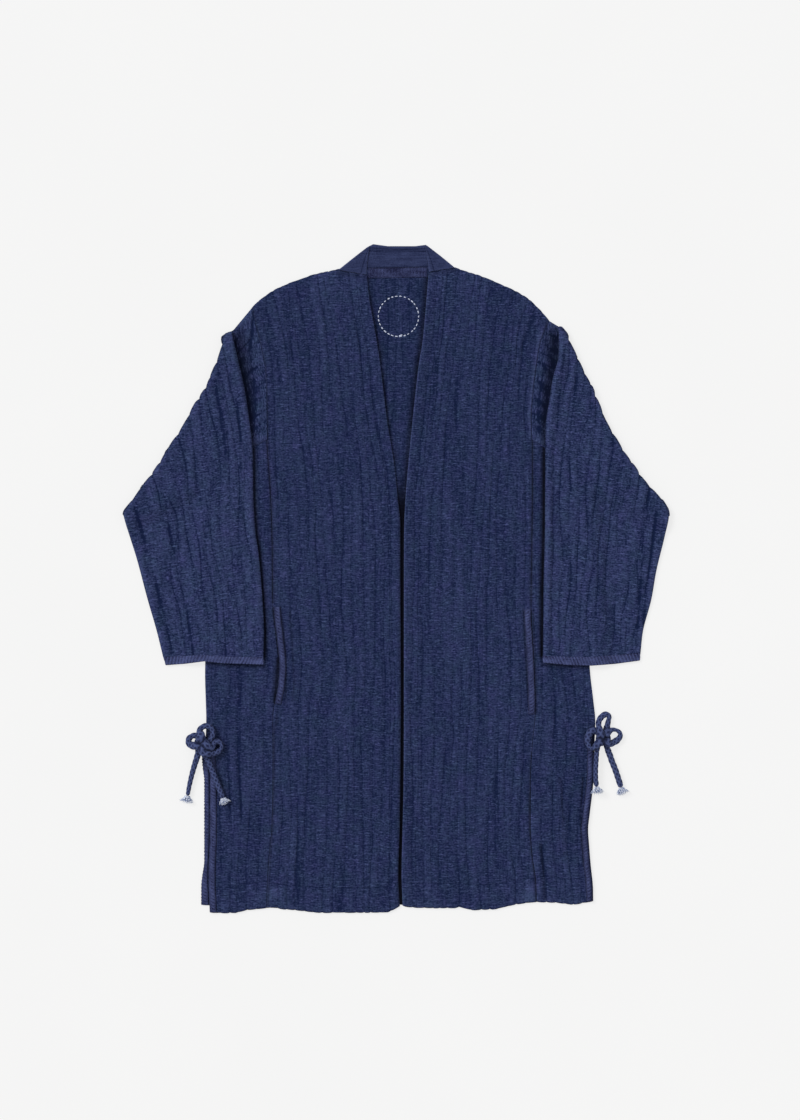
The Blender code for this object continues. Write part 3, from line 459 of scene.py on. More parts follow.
# %% Lay the routes on the coat
def smooth_route(points, count):
    """Evenly spread points on a smooth curve through a route's own points."""
    ends = [2 * points[0] - points[1], *points, 2 * points[-1] - points[-2]]
    dense = []
    for before, start, end, after in zip(ends, ends[1:], ends[2:], ends[3:]):
        for t in np.arange(12) / 12:
            square = (2 * before - 5 * start + 4 * end - after) * t ** 2
            cube = (3 * start - before - 3 * end + after) * t ** 3
            dense.append(0.5 * (2 * start + (end - before) * t + square + cube))
    dense = np.array(dense + [points[-1]])
    lengths = np.concatenate([[0.0], np.cumsum(np.linalg.norm(np.diff(dense[:, :3], axis=0), axis=1))])
    even = np.linspace(0, lengths[-1], count + 1)
    return np.stack([np.interp(even, lengths, column) for column in dense.T], -1)


def soft_step(value):
    """0 below 0, 1 above 1, and a smooth rise between."""
    value = np.clip(value, 0.0, 1.0)
    return value * value * (3 - 2 * value)


EDGE_DROP = 9.0


def rest_height(x, y, side):
    """Height that the tie's cord lies on: the coat, its edge, or the floor beside it."""
    edge = max(OUTWARD[side] * float(read_line(table, y)) for table in SIDE_EDGES[side])
    beyond = OUTWARD[side] * x - edge - CORD / 2
    return GAP + (FRONT_TOP + GAP + BAND) * (1 - float(soft_step(beyond / EDGE_DROP)))


KNOT_POINTS = 76
END_POINTS = 16


def tie_routes(side):
    """The knot's route and the routes of its two free ends, by the end's name, in millimetres."""
    middle_x, middle_y = KNOT_PLACE[side]
    route = []
    for across, up, level, wide in KNOT_ROUTE[side]:
        x, y = middle_x + across, middle_y + up
        lift = CORD / 2 + (CORD + GAP) / 2 * (level + 1)
        route.append(np.array((x, y, rest_height(x, y, side) + lift, wide)))
    knot = smooth_route(route, KNOT_POINTS)
    outer_end, inner_end = ("back", "front") if side == "right" else ("front", "back")
    free = {}
    for end, tip, before in ((outer_end, knot[0, :3], knot[1, :3]), (inner_end, knot[-1, :3], knot[-2, :3])):
        away = (tip - before) / np.linalg.norm(tip - before)
        start = tip + away * GAP
        points = [start, start + away * CORD / 2, start + away * CORD]
        for across, up in END_ROUTE[f"{side}_{end}"]:
            x, y = middle_x + across, middle_y + up
            points.append(np.array((x, y, rest_height(x, y, side) + CORD / 2)))
        free[end] = smooth_route(points, END_POINTS)
    return knot, free


def route_length(route):
    return float(np.linalg.norm(np.diff(route, axis=0), axis=1).sum())


ties = {side: tie_routes(side) for side in KNOT_PLACE}
for side, (knot, free) in ties.items():
    print(side, "tie: free ends in mm", {end: round(route_length(route)) for end, route in free.items()})

# %% Make a mesh from a moved grid
SEAM_JOIN = 0.00002


def grid_data(name, where, cloth_map, values, seams=False):
    """A mesh from a create_grid whose points are moved to `where`, with its map and point values.

    where is rows x columns x 3 in millimetres, cloth_map is rows x columns x 2 in millimetres. With
    seams, points that meet are joined: a rolled grid closes, and a ring that shrinks to a point is a pole.
    """
    rows, columns = where.shape[:2]
    mesh = bmesh.new()
    bmesh.ops.create_grid(mesh, x_segments=columns - 1, y_segments=rows - 1, size=1)
    data = bpy.data.meshes.new(name)
    mesh.to_mesh(data)
    mesh.free()
    data.vertices.foreach_set("co", (where * MM).astype(np.float32).ravel())
    corners = np.empty(len(data.loops), np.int32)
    data.loops.foreach_get("vertex_index", corners)
    layer = data.uv_layers.new(name="cloth")
    layer.data.foreach_set("uv", (cloth_map.reshape(-1, 2)[corners] * MM).astype(np.float32).ravel())
    for label, value in values.items():
        whole = np.broadcast_to(value, (rows, columns)).astype(np.float32)
        data.attributes.new(label, "FLOAT", "POINT").data.foreach_set("value", whole.ravel())
    if seams:
        mesh = bmesh.new()
        mesh.from_mesh(data)
        bmesh.ops.remove_doubles(mesh, verts=mesh.verts, dist=SEAM_JOIN)
        mesh.to_mesh(data)
        mesh.free()
    data.shade_smooth()
    return data


print("points nearer than", SEAM_JOIN / MM, "mm are joined at a seam")


# %% Find directions and rings along a route
def frames_along(points):
    """A sideways direction and an upward one at each point, turning no more than the route does."""
    ways = np.gradient(points, axis=0)
    ways /= np.linalg.norm(ways, axis=1)[:, None]
    side = np.cross(ways[0], (0.0, 0.0, 1.0))
    sides = []
    for way in ways:
        side = side - way * (side @ way)
        side = side / np.linalg.norm(side)
        sides.append(side)
    sides = np.array(sides)
    return ways, sides, np.cross(sides, ways)


def ring_of(sides, ups, turn, wide=1.0, high=1.0):
    """A ring of points round each point of a route, as steps away from it, some way wide and high."""
    return (wide * np.cos(turn))[..., None] * sides[:, None] + (high * np.sin(turn))[:, None] * ups[:, None]


print("directions at the start of a knot:", frames_along(ties["right"][0][:, :3])[0][0].round(2))

# %% Roll up a braided cord
TOUCH_SHADE = 0.76
TOUCH_REACH = 1.3
TOUCH_SKIP = 2.4


def bell(distance, width):
    """1 on a line, fading out on both sides of it within about two widths."""
    return np.exp(-(distance / width) ** 2)


def touch_shade(where, points, wide, radius, flat, along):
    """Shade in the narrow places where one stretch of a cord lies close to another.

    The stretch beside a ring, as far as TOUCH_SKIP times its radius, is a part of the same strand.
    """
    shade = np.zeros(where.shape[:2])
    for ring, place in enumerate(along):
        others = abs(along - place) > TOUCH_SKIP * radius
        if others.any():
            apart = (where[ring][:, None] - points[others][None]) / radius
            apart[..., :2] /= wide[others]
            apart[..., 2] /= flat
            gap = (np.linalg.norm(apart, axis=-1).min(axis=1) - 1) * radius
            shade[ring] = TOUCH_SHADE * bell(np.maximum(gap, 0), TOUCH_REACH)
    return shade


CORD_SIDES = 28
CORD_RING = 0.75
BRAID_PITCH = 8.5
BRAID_DEPTH = 0.30
FLANK_SHADE = 0.9


def ramp(distance, width):
    """0 at an edge, rising evenly to 1 at a given distance inside it."""
    return np.clip(distance / width, 0, 1)


def rolled_cord(name, route, finish, radius=CORD / 2, taper=1.0, closed_tip=False, flat=1.0):
    """A braided cord along a route in millimetres, with flat ends, or its far end drawn shut.

    A fourth number at each point of the route is the share of the cord's own width there. The braid is
    two strands that wind round in opposite ways: its height is 0.707 between them and 1 on their crests.
    """
    length = route_length(route[:, :3])
    rings = int(length / CORD_RING)
    points = smooth_route(list(route), rings)
    wide = points[:, 3:] if points.shape[1] > 3 else np.ones((rings + 1, 1))
    points = points[:, :3]
    # sideways stays level on a cord that lies flat, so its rings don't twist the braid
    ways = np.gradient(points, axis=0)
    sides = np.cross(ways, (0.0, 0.0, 1.0))
    sides /= np.linalg.norm(sides, axis=1)[:, None]
    ups = np.cross(sides, ways / np.linalg.norm(ways, axis=1)[:, None])
    turn = np.linspace(0, 2 * pi, CORD_SIDES + 1)
    along = np.linspace(0, length, rings + 1)
    lean = pi * along[:, None] / BRAID_PITCH
    strands = np.maximum(abs(np.sin(2 * turn + lean)), abs(np.sin(2 * turn - lean)))
    braid = (strands - 0.707) / 0.293
    reach = radius - BRAID_DEPTH * (1 - braid)
    shut = np.ones(rings + 1)
    if closed_tip:
        to_tip = ramp(length - along, radius)
        shut = np.sqrt(to_tip * (2 - to_tip))
    reach = reach * (shut * np.linspace(1.0, taper, rings + 1))[:, None]
    where = points[:, None, :] + reach[..., None] * ring_of(sides, ups, turn, wide, flat)
    # painted shade: the cord's sides and underside are darker than its top, as if lit from above
    painted_flank_shade = FLANK_SHADE * (1 - np.sin(turn)) / 2
    shade = np.maximum(touch_shade(where, points, wide, radius, flat, along), painted_flank_shade)
    if not closed_tip:
        where = np.concatenate([where, np.repeat(points[-1:, None, :], CORD_SIDES + 1, axis=1)])
        braid, along = np.vstack([braid, braid[-1:]]), np.append(along, length)
        shade = np.vstack([shade, shade[-1:]])
    where = np.concatenate([np.repeat(points[:1, None, :], CORD_SIDES + 1, axis=1), where])
    braid, along = np.vstack([braid[:1], braid]), np.insert(along, 0, 0.0)
    shade = np.vstack([shade[:1], shade])
    around = np.broadcast_to(turn * radius, braid.shape)
    cloth_map = np.stack([around, np.broadcast_to(along[:, None], braid.shape)], -1)
    data = grid_data(name, where, cloth_map, {"braid": braid, "shade": shade}, seams=True)
    data.materials.append(finish.material)
    return new_object(name, data)


print("a cord ring every", CORD_RING, "mm")

# %% Finish of the cord
CORD_DARK = (0.016, 0.021, 0.066, 1.0)
CORD_LIGHT = (0.104, 0.140, 0.312, 1.0)
CORD_SHADE = (0.005, 0.007, 0.026, 1.0)

cord_finish = Finish("braided_indigo_cord", roughness=0.88, specular=0.1, sheen=0.03)
cord_place = cord_finish.node("ShaderNodeUVMap", {"uv_map": "cloth"}, {})
cord_braid = cord_finish.attribute("braid")
cord_flecks = cord_finish.noise(cord_place, (500, 240, 1))
# painted shade: the cord is paler on its strands' crests and darker in the grooves between them
cord_tone = 0.16 + cord_braid * 0.34 + cord_flecks * 0.9
cord_colour = cord_finish.blend(cord_tone.above(0.5, 1.0), CORD_DARK, CORD_LIGHT)
cord_finish.feed("Base Color", cord_finish.blend(cord_finish.attribute("shade"), cord_colour, CORD_SHADE))
cord_yarn = cord_finish.noise(cord_place, (900, 2400, 1))
cord_finish.bump(cord_yarn, distance=0.0004, strength=0.6)
print("cord finish", cord_finish.material.name)

# %% Finish of the frayed yarn
YARN_PALE = (0.70, 0.75, 0.88, 1.0)
YARN_BLUE = (0.19, 0.25, 0.44, 1.0)


def yarn_finish(name, blue_from):
    """Pale cotton yarn with patches that are still blue; a lower blue_from leaves more of them."""
    finish = Finish(name, roughness=0.85, specular=0.15, sheen=0.1)
    place = finish.node("ShaderNodeTexCoord", {}, {}, output="Object")
    spots = finish.noise(place, (420, 420, 420), detail=1.0)
    finish.feed("Base Color", finish.blend(spots.above(blue_from, 0.10), YARN_PALE, YARN_BLUE))
    finish.bump(finish.noise(place, (1800, 1800, 1800)), distance=0.0003, strength=0.5)
    return finish


frayed = yarn_finish("frayed_yarn", blue_from=0.07)
frayed_blue = yarn_finish("frayed_yarn_bluer", blue_from=0.035)
print("frayed yarn finishes", frayed.material.name, frayed_blue.material.name)

# %% [markdown]
# ## Frayed ends
#
# Each free end is cut and left to fray into a small flared brush of pale cotton yarns. A cone with a bump
# map would have a smooth outline, and the outline is what shows that an end is frayed. So each yarn is
# its own thin strand of three sides, bent a little outwards, and all of a tuft's strands are one mesh.

# %% Comb out a tuft
STRANDS = 58
STRAND_SIDES = 3
STRAND_RADIUS = 0.72
STRAND_WIDTHS = (1.0, 1.0, 0.9, 0.75, 0.3)
TUFT_LENGTH = {"right_back": 12.5, "right_front": 11.0, "left_front": 12.5, "left_back": 12.5}
TUFT_SPREAD = 0.88
HEAD_RADIUS = 3.6
GOLDEN_TURN = 2.39996
FLOOR_CLEAR = 0.45


def strand_line(start, way, side, up, angle, spread, length):
    """The middle line of one strand: out of the head, bending away from the tuft's middle."""
    outward = side * cos(angle) + up * sin(angle) * 0.55
    shares = np.linspace(0, 1, len(STRAND_WIDTHS))[:, None]
    line = start + outward * HEAD_RADIUS * spread + way * length * shares
    line = line + outward * length * TUFT_SPREAD * spread * shares ** 1.6
    line[:, 2] = np.maximum(line[:, 2], FLOOR_CLEAR + STRAND_RADIUS)
    return line


def make_tuft(name, route, seed, reach, finish):
    """A tuft of frayed yarns that fans out from the end of a free cord."""
    chance = np.random.default_rng(seed)
    ways, sides, ups = frames_along(route)
    tip, way, side, up = route[-1], ways[-1], sides[-1], ups[-1]
    turn = np.linspace(0, 2 * pi, STRAND_SIDES + 1)
    width = STRAND_RADIUS * np.array(STRAND_WIDTHS)
    joined = bmesh.new()
    for strand in range(STRANDS):
        spread = ((strand + 0.5) / STRANDS) ** 0.5
        length = reach * (0.74 + 0.26 * chance.random()) * (1.15 - 0.42 * spread)
        line = strand_line(tip, way, side, up, strand * GOLDEN_TURN, spread, length)
        line[1:] += chance.normal(0, 0.5, line[1:].shape) * (1.0, 1.0, 0.4)
        line[:, 2] = np.maximum(line[:, 2], FLOOR_CLEAR + STRAND_RADIUS)
        where = line[:, None] + width[:, None, None] * ring_of(*frames_along(line)[1:], turn)
        first, last = (np.repeat(end[None, None], STRAND_SIDES + 1, axis=1) for end in (line[0], line[-1]))
        where = np.concatenate([first, where, last])
        data = grid_data("strand", where, where[..., :2], {}, seams=True)
        joined.from_mesh(data)
        bpy.data.meshes.remove(data)
    data = bpy.data.meshes.new(name)
    joined.to_mesh(data)
    joined.free()
    data.shade_smooth()
    data.materials.append(finish.material)
    return new_object(name, data)


print("a tuft has", STRANDS, "strands")

KNOT_RADIUS = 4.7
KNOT_FLAT = 0.87
TUFT_SEED = 11
FREE_END_RADII = {
    "right_back": (4.9, 0.66), "right_front": (4.7, 0.92), "left_front": (3.9, 1.0), "left_back": (4.8, 0.96),
}


def stand_for(piece, solid):
    """A piece rides on the coat's one body, and replaces the solid that it dresses."""
    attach(piece, "root")
    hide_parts(solid)


for side, (knot, free) in ties.items():
    knot_piece = rolled_cord(f"knot_{side}", knot, cord_finish, KNOT_RADIUS, flat=KNOT_FLAT)
    stand_for(knot_piece, f"tie_{side}_knot")
    for index, (end, route) in enumerate(free.items()):
        label = f"{side}_{end}"
        yarn = frayed if label == "right_front" else frayed_blue
        tuft = make_tuft(f"frayed_end_{label}", route, TUFT_SEED + index, TUFT_LENGTH[label], yarn)
        stand_for(tuft, f"tuft_{label}")
        radius, taper = FREE_END_RADII[label]
        free_end = rolled_cord(f"free_end_{label}", route, cord_finish, radius, taper, closed_tip=True)
        stand_for(free_end, f"tie_{label}")

# %% [markdown]
# ## Crinkled indigo cloth
# Washing shrinks the warp unevenly, so the cloth stands in long narrow ridges, with slubs and pale flecks
# of weft running across them. Bump alone would leave the cloth flat from the side, so the ridges, creases
# and turned edges are in the mesh, and only the weave is in the material. The dye wears off the crests,
# and the valleys are painted darker as shade, so each point also carries how much of a crest it is, how
# worn it is, and how far it lies from the nearest line of stitching. Beside folds, gaps, seams and edges
# the cloth is painted darker, down to nearly black, as painted shade, and each point carries that as well.

# %% Finish of the crinkled cloth
CLOTH_DARK = (0.0047, 0.0105, 0.0430)
CLOTH_LIGHT = (0.0600, 0.0800, 0.1930)
VIOLET = (1.13, 0.93, 1.10)
TEAL = (0.87, 1.07, 0.90)
DEEP_SHADE = (0.0008, 0.0010, 0.0040, 1.0)
LINE_HALF_WIDTH = 1.1
VALLEY_EDGE = 0.30


def tinted(colour, tint):
    return tuple(part * share for part, share in zip(colour, tint)) + (1.0,)


def indigo_finish(name, tone, slub=1.0, crest_wear_and_shade=0.22, valley_shade_share=0.14):
    """Indigo cotton: dark stitching, pale crests, flecks and worn edges, painted shade in valleys and folds.
    """
    finish = Finish(name, roughness=0.93, specular=0.08, sheen=0.02)
    place = finish.node("ShaderNodeUVMap", {"uv_map": "cloth"}, {})
    crest = finish.attribute("crest")
    wear = finish.attribute("wear")
    line = finish.attribute("stitch_line")
    shade = finish.attribute("shade")
    weft = finish.noise(place, (75, 430, 1), detail=3.0, roughness=0.6)
    grain = finish.noise(place, (330, 470, 2), detail=2.0)
    warp = finish.noise(place, (440, 34, 5), detail=2.0)
    cloud = finish.noise(place, (15, 8, 7), detail=2.0)
    fleck = finish.noise(place, (125, 480, 9), detail=2.0).above(0.125, 0.07)
    dye = finish.noise(place, (44, 34, 11), detail=5.0, roughness=0.72)
    groove = (1.0 - abs(line) / LINE_HALF_WIDTH).above(0.5, 1.0)
    # painted shade: the valleys between the ridges are painted darker
    valley = (1.0 - crest / VALLEY_EDGE).above(0.5, 1.0)
    weave = weft * (1.1 + weft * 2.2) + grain * 1.3 + fleck * 0.50
    mixed = tone + weave * slub + warp * 0.5 + cloud * 0.22
    # crests paler from real wear and valleys darker as painted shade; the valley term adds more painted shade
    mixed = mixed + (crest - 0.55) * crest_wear_and_shade - valley * valley_shade_share + wear * 0.22 - groove * 0.20
    share = mixed.above(0.5, 1.0)
    teal = finish.blend(share, tinted(CLOTH_DARK, TEAL), tinted(CLOTH_LIGHT, TEAL))
    violet = finish.blend(share, tinted(CLOTH_DARK, VIOLET), tinted(CLOTH_LIGHT, VIOLET))
    cloth = finish.blend((dye * 2.2 + 0.5).above(0.5, 1.0), teal, violet)
    # painted shade: the cloth is blended to nearly black beside folds, gaps, seams and edges
    finish.feed("Base Color", finish.blend(shade, cloth, DEEP_SHADE))
    finish.bump(weft * 0.7 + grain * 0.6 + warp * 0.3 - groove * 0.5, distance=0.0010, strength=0.7)
    return finish


body_cloth = indigo_finish("crinkled_indigo", tone=0.20)
sleeve_cloth = indigo_finish(
    "crinkled_indigo_sleeve", tone=0.27, slub=1.25, crest_wear_and_shade=0.36, valley_shade_share=0.32
)
inside_cloth = indigo_finish("crinkled_indigo_inside", tone=0.15, slub=0.9, crest_wear_and_shade=0.2)
print("cloth finishes:", body_cloth.material.name, sleeve_cloth.material.name, inside_cloth.material.name)


# %% Where the ridges run
def wandering(column, share, last):
    """Places across a piece, 0 to 1, of its ridge columns: valleys are even, crests odd."""
    hold = np.minimum(1.0, np.minimum(column / 3, (last - column) / 3))
    slow = np.sin(2 * pi * (1.15 * share + 0.071 * column))
    quick = np.sin(2 * pi * (2.7 * share - 0.113 * column + 0.31))
    return (column + 0.7 * hold * (0.62 * slow + 0.38 * quick)) / last


LATTICE = 97


def soft_noise(seed, along, across, long_step, cross_step):
    """Smooth noise from -1 to 1, whose bumps have a given length and width in the same units."""
    lattice = np.random.default_rng(seed).uniform(-1, 1, (LATTICE, LATTICE))
    p, q = along / long_step, across / cross_step
    i, j = np.floor(p).astype(int), np.floor(q).astype(int)
    s, t = soft_step(p - i), soft_step(q - j)
    i, j, after_i, after_j = i % LATTICE, j % LATTICE, (i + 1) % LATTICE, (j + 1) % LATTICE
    near = lattice[i, j] * (1 - s) + lattice[after_i, j] * s
    far = lattice[i, after_j] * (1 - s) + lattice[after_i, after_j] * s
    return near * (1 - t) + far * t


def swells(size, seed, along, across):
    """Smooth noise of a given (height, length, width), all in millimetres."""
    height, long_step, cross_step = size
    return height * soft_noise(seed, along, across, long_step, cross_step)


FILL_LENGTH = 100.0
SPLIT_LENGTH = 62.0
RIPPLE_LENGTH = 8.0
COLUMN_MM = 7.5


def crinkle(column, share, along, last, seed):
    """Ridge height, about 0 in a valley and 1 on a crest; some valleys fill up and some crests split."""
    even = 2 * np.round(column / 2)
    odd = np.clip(2 * np.floor(column / 2) + 1, 1, last - 1)
    t = np.clip(abs(column - even), 0, 1)
    low = 0.12 + 0.12 * np.sin(2 * pi * (1.9 * share + 0.17 * even))
    long = np.sin(2 * pi * (1.6 * share + 0.389 * odd))
    short = np.sin(2 * pi * (3.7 * share - 0.217 * odd))
    high = 0.72 + 0.14 * (long + short)
    filled = np.clip(1.2 * soft_noise(seed, along, even, FILL_LENGTH, 2) - 0.18, 0, 0.75)
    low = low + (0.9 * high - low) * filled
    split = np.clip(1.8 * soft_noise(seed + 1, along, odd, SPLIT_LENGTH, 2) - 0.2, 0, 0.8)
    middle = np.clip(1 - (1 - t) / 0.34, 0, 1)
    ripple = soft_noise(seed + 2, along, column * COLUMN_MM, RIPPLE_LENGTH, 6)
    return low + (high - low) * np.sin(pi / 2 * t) ** 0.6 - 0.6 * high * split * middle + 0.06 * ripple


one_ridge = crinkle(np.array([4.0, 4.5, 5.0, 5.5, 6.0]), share=0.3, along=100.0, last=28, seed=1)
print("ridge heights across one ridge:", one_ridge.round(2))


# %% Where the points of a piece lie
VALLEY_STEPS = (0.0, 0.14, 0.36, 0.66)
RIM_STEPS = (0.0, 0.3, 0.95, 1.8)
ROW_STEP = 3.2


def ridge_samples(last, steps=VALLEY_STEPS):
    """Columns of points: closer together in the valleys, and at the two rims."""
    columns = []
    for column in range(last):
        if column % 2 == 0:
            columns.extend(column + step for step in steps)
        else:
            columns.extend(column + 1 - step for step in reversed(steps))
    columns = [c for c in columns if c != last]
    rims = [step / COLUMN_MM for step in RIM_STEPS[1:]]
    inside = [c for c in columns if rims[-1] < c < last - rims[-1]]
    return np.array([0.0, *rims, *inside, *[last - r for r in reversed(rims)], float(last)])


def rim_steps(length, step):
    """Shares of a length: even steps inside, and close together at both ends."""
    inside = np.linspace(RIM_STEPS[-1], length - RIM_STEPS[-1], max(3, int(length / step)))
    return np.array([*RIM_STEPS[:-1], *inside, *[length - r for r in reversed(RIM_STEPS[:-1])]]) / length


def coons(left, right, bottom, top, across, share):
    """Plan points of a four-sided piece between two side lines and two end lines."""
    left_points, right_points = left(share), right(share)
    ends = (left(0.0), right(0.0), left(1.0), right(1.0))
    u, v = across[..., None], share[..., None]
    sides = left_points * (1 - u) + right_points * u
    caps = bottom(across) * (1 - v) + top(across) * v
    corners = (ends[0] * (1 - u) + ends[1] * u) * (1 - v) + (ends[2] * (1 - u) + ends[3] * u) * v
    return sides + caps - corners


print("points across a piece of 14 ridges:", len(ridge_samples(28)))


# %% Marks, creases and stitching on a piece
def distance_to(plan, points):
    """Distance of each plan point from a broken line, in millimetres."""
    best = np.full(plan.shape[:-1], np.inf)
    for start, end in zip(points, points[1:]):
        start, way = np.array(start, float), np.array(end, float) - np.array(start, float)
        part = np.clip(((plan - start) @ way) / (way @ way), 0, 1)
        best = np.minimum(best, np.linalg.norm(plan - start - part[..., None] * way, axis=-1))
    return best


def beside(plan, lines):
    """The strongest of several soft marks at each plan point, given as (strength, half width, points)."""
    best = np.zeros(plan.shape[:-1])
    for strength, half_width, points in lines:
        best = np.maximum(best, strength * bell(distance_to(plan, points), half_width))
    return best


def with_spots(wear, plan, spots):
    """Wear with round worn spots added to it, given as (strength, radius, middle)."""
    for strength, radius, (x, y) in spots:
        wear = wear + strength * np.exp(-((plan[..., 0] - x) ** 2 + (plan[..., 1] - y) ** 2) / radius ** 2)
    return wear


def press_creases(level, crest, plan, creases, dulled):
    """Press creases, given as (depth, half width, points), into a piece's heights and crests."""
    for depth, half_width, points in creases:
        trough = bell(distance_to(plan, points), half_width)
        level -= depth * trough
        crest -= dulled * trough


NO_STITCHES = 99.0


def nearest_stitching(gaps, stitches):
    """Signed distance from the nearest row of stitches, given as (edge, distance from that edge)."""
    nearest = np.full(gaps["low"].shape, NO_STITCHES)
    for edge, inset in stitches:
        signed = gaps[edge] - inset
        nearest = np.where(abs(signed) < abs(nearest), signed, nearest)
    return nearest


MAP_BEND_ACROSS = (2.2, 40, 60)
MAP_BEND_ALONG = (1.6, 45, 80)


def crooked_map(flat, seed):
    """The cloth's own map of flat points, bent a little so that no thread of it runs quite straight."""
    x, y = flat[..., 0], flat[..., 1]
    bend = (swells(MAP_BEND_ACROSS, seed + 5, y, x), swells(MAP_BEND_ALONG, seed + 6, x, y))
    return flat + np.stack(bend, -1)


def rim_drop(distance, radius):
    """How far a rounded edge has curved down at a distance from the rim."""
    inside = 1 - ramp(distance, radius)
    return radius * (1 - np.sqrt(1 - inside * inside))


print("drop of a turned edge at 0.3 mm from its rim:", rim_drop(0.3, CLOTH).round(2), "mm")

# %% [markdown]
# ## Panels
#
# Every flat panel is one grid laid between its own seam lines. Its columns follow the ridges, so a valley
# is a line of points and stays crisp, and its rows follow the cloth from the hem up. The rim curves down
# over a small radius, as a turned edge does, and Solidify gives the cloth its thickness. The main creases
# are given one by one as soft troughs.

# %% Lines that a panel's edges follow
BODY_ROWS = 20
ARMHOLE_ROWS = 6


def seam_line(table, shift=0.0, rows=BODY_ROWS, upper_rows=ARMHOLE_ROWS):
    """A line up the coat by share, with the underarm on its own row, moved across by a small shift."""
    low, high = min(table)[0], max(table)[0]

    def at(share):
        row = np.asarray(share, float) * (rows + upper_rows)
        below = low + (UNDERARM - low) * row / rows
        above = UNDERARM + (high - UNDERARM) * (row - rows) / max(upper_rows, 1)
        heights = np.where(row <= rows, below, above)
        return np.stack([read_line(table, heights) + shift, heights], -1)

    return at


def edge_line(table, low=None, high=None, shift=0.0):
    """A line up the coat by share, from one height to another."""
    low = min(table)[0] if low is None else low
    high = max(table)[0] if high is None else high

    def at(share):
        heights = low + (high - low) * np.asarray(share, float)
        return np.stack([read_line(table, heights) + shift, heights], -1)

    return at


def plan_area(forwards, backwards, count=60):
    """Area in square metres of a plan outline: lines walked to their ends, then lines walked back."""
    steps = np.linspace(0, 1, count)
    there, back_again = [line(steps) for line in forwards], [line(steps[::-1]) for line in backwards]
    x, y = np.concatenate(there + back_again).T
    return abs(np.dot(x, np.roll(y, -1)) - np.dot(y, np.roll(x, -1))) / 2 * MM * MM


left_edge = seam_line(FRONT_EDGE_LEFT)
print("left front edge at the hem and the collar:", left_edge(0.0).round(1), left_edge(1.0).round(1))

# %% Give a grid of cloth its thickness
SHELL = 1.3


def add_shell(name, where, cloth_map, values, finish, thickness, seams=False):
    """A grid of cloth with its face outwards and its thickness inwards."""
    data = grid_data(name, where, cloth_map, values, seams=seams)
    across, along = where[1, 2] - where[1, 1], where[2, 1] - where[1, 1]
    if np.cross(across, along)[2] < 0:
        data.flip_normals()
    data.materials.append(finish.material)
    piece = new_object(name, data)
    wall = piece.modifiers.new("wall", "SOLIDIFY")
    wall.thickness = thickness * MM
    wall.offset = -1.0
    return piece


print("a wall of cloth is", SHELL, "mm thick")

# %% Make a panel of crinkled cloth
WOBBLE = (1.5, 52, 24)
SMALL_WOBBLE = (0.6, 17, 11)
WOBBLE_FROM = 12.0
SCALLOP = 1.7
SCALLOP_REACH = 3.0
RIDGE_FROM = 6.0
SWELL_SIZE = (130, 45)
SWELL_FROM = 20.0
RIM_WEAR_WIDTH = 1.8
RIM_SHADE = 0.45
RIM_SHADE_WIDTH = 1.3
HEM_WEAR = 0.9
HEM_WEAR_AT = 4.2
HEM_WEAR_WIDTH = 2.6


def make_panel(node, sides, ends, ridges, length, under, seed, finish, step=ROW_STEP, calm=None,
               creases=(), stitches=(), worn=(), ridge=RIDGE, columns=None, swell=0.5, lifts=(), shades=(),
               rim_wear=1.0, shade_by=None, worn_lines=()):
    """A crinkled panel between two side lines and two end lines, standing in for its solid."""
    last = 2 * ridges
    columns = ridge_samples(last) if columns is None else columns
    column, share = np.meshgrid(columns, rim_steps(length, step))
    along, sideways = share * length, column * COLUMN_MM
    across = wandering(column, share, last)
    plan = coons(*sides, *ends, across, share)
    width = np.linalg.norm(sides[1](share) - sides[0](share), axis=-1)
    gaps = {"left": across * width, "right": (1 - across) * width, "low": along, "top": length - along}
    edge = np.minimum.reduce(list(gaps.values()))

    height = crinkle(column, share, along, last, seed)
    wobble = swells(WOBBLE, seed + 3, along, sideways) + swells(SMALL_WOBBLE, seed + 7, along, sideways)
    plan[..., 0] += wobble * ramp(edge, WOBBLE_FROM)
    at_top, at_hem = np.exp(-gaps["top"] / SCALLOP_REACH), np.exp(-gaps["low"] / SCALLOP_REACH)
    plan[..., 1] += (height - 0.5) * (SCALLOP * at_top - SCALLOP * at_hem)

    fade = 0.25 + 0.75 * ramp(edge, RIDGE_FROM)
    if calm is not None:
        fade = fade * calm(plan, gaps["left"])
    level = under + CLOTH + ridge * height * fade
    level += swells((swell, *SWELL_SIZE), seed + 4, along, sideways) * ramp(edge, SWELL_FROM)
    crest = height.copy()
    press_creases(level, crest, plan, creases, dulled=0.5)
    level += beside(plan, lifts)
    level -= rim_drop(edge, CLOTH - 0.15)

    wear = rim_wear * bell(np.minimum(gaps["left"], gaps["right"]), RIM_WEAR_WIDTH) + beside(plan, worn_lines)
    patches = np.clip(0.45 + soft_noise(seed + 8, plan[..., 0], plan[..., 1], 26, 200), 0, 1)
    wear += HEM_WEAR * patches * bell(gaps["low"] - HEM_WEAR_AT, HEM_WEAR_WIDTH)
    wear = with_spots(wear, plan, worn)
    shade = np.maximum(beside(plan, shades), RIM_SHADE * bell(gaps["low"], RIM_SHADE_WIDTH))
    if shade_by is not None:
        shade = np.maximum(shade, shade_by(plan))
    stitch_line = nearest_stitching(gaps, stitches)

    where = np.dstack([plan, level])
    values = {"crest": crest, "wear": wear, "stitch_line": stitch_line, "shade": shade}
    piece = add_shell(f"{node}_cloth", where, crooked_map(plan, seed), values, finish, SHELL)
    stand_for(piece, node)
    print(piece.name, where.shape[:2], "points,", level.min().round(1), "to", level.max().round(1), "mm high")
    return piece


print("a panel's rows of points lie", ROW_STEP, "mm apart")

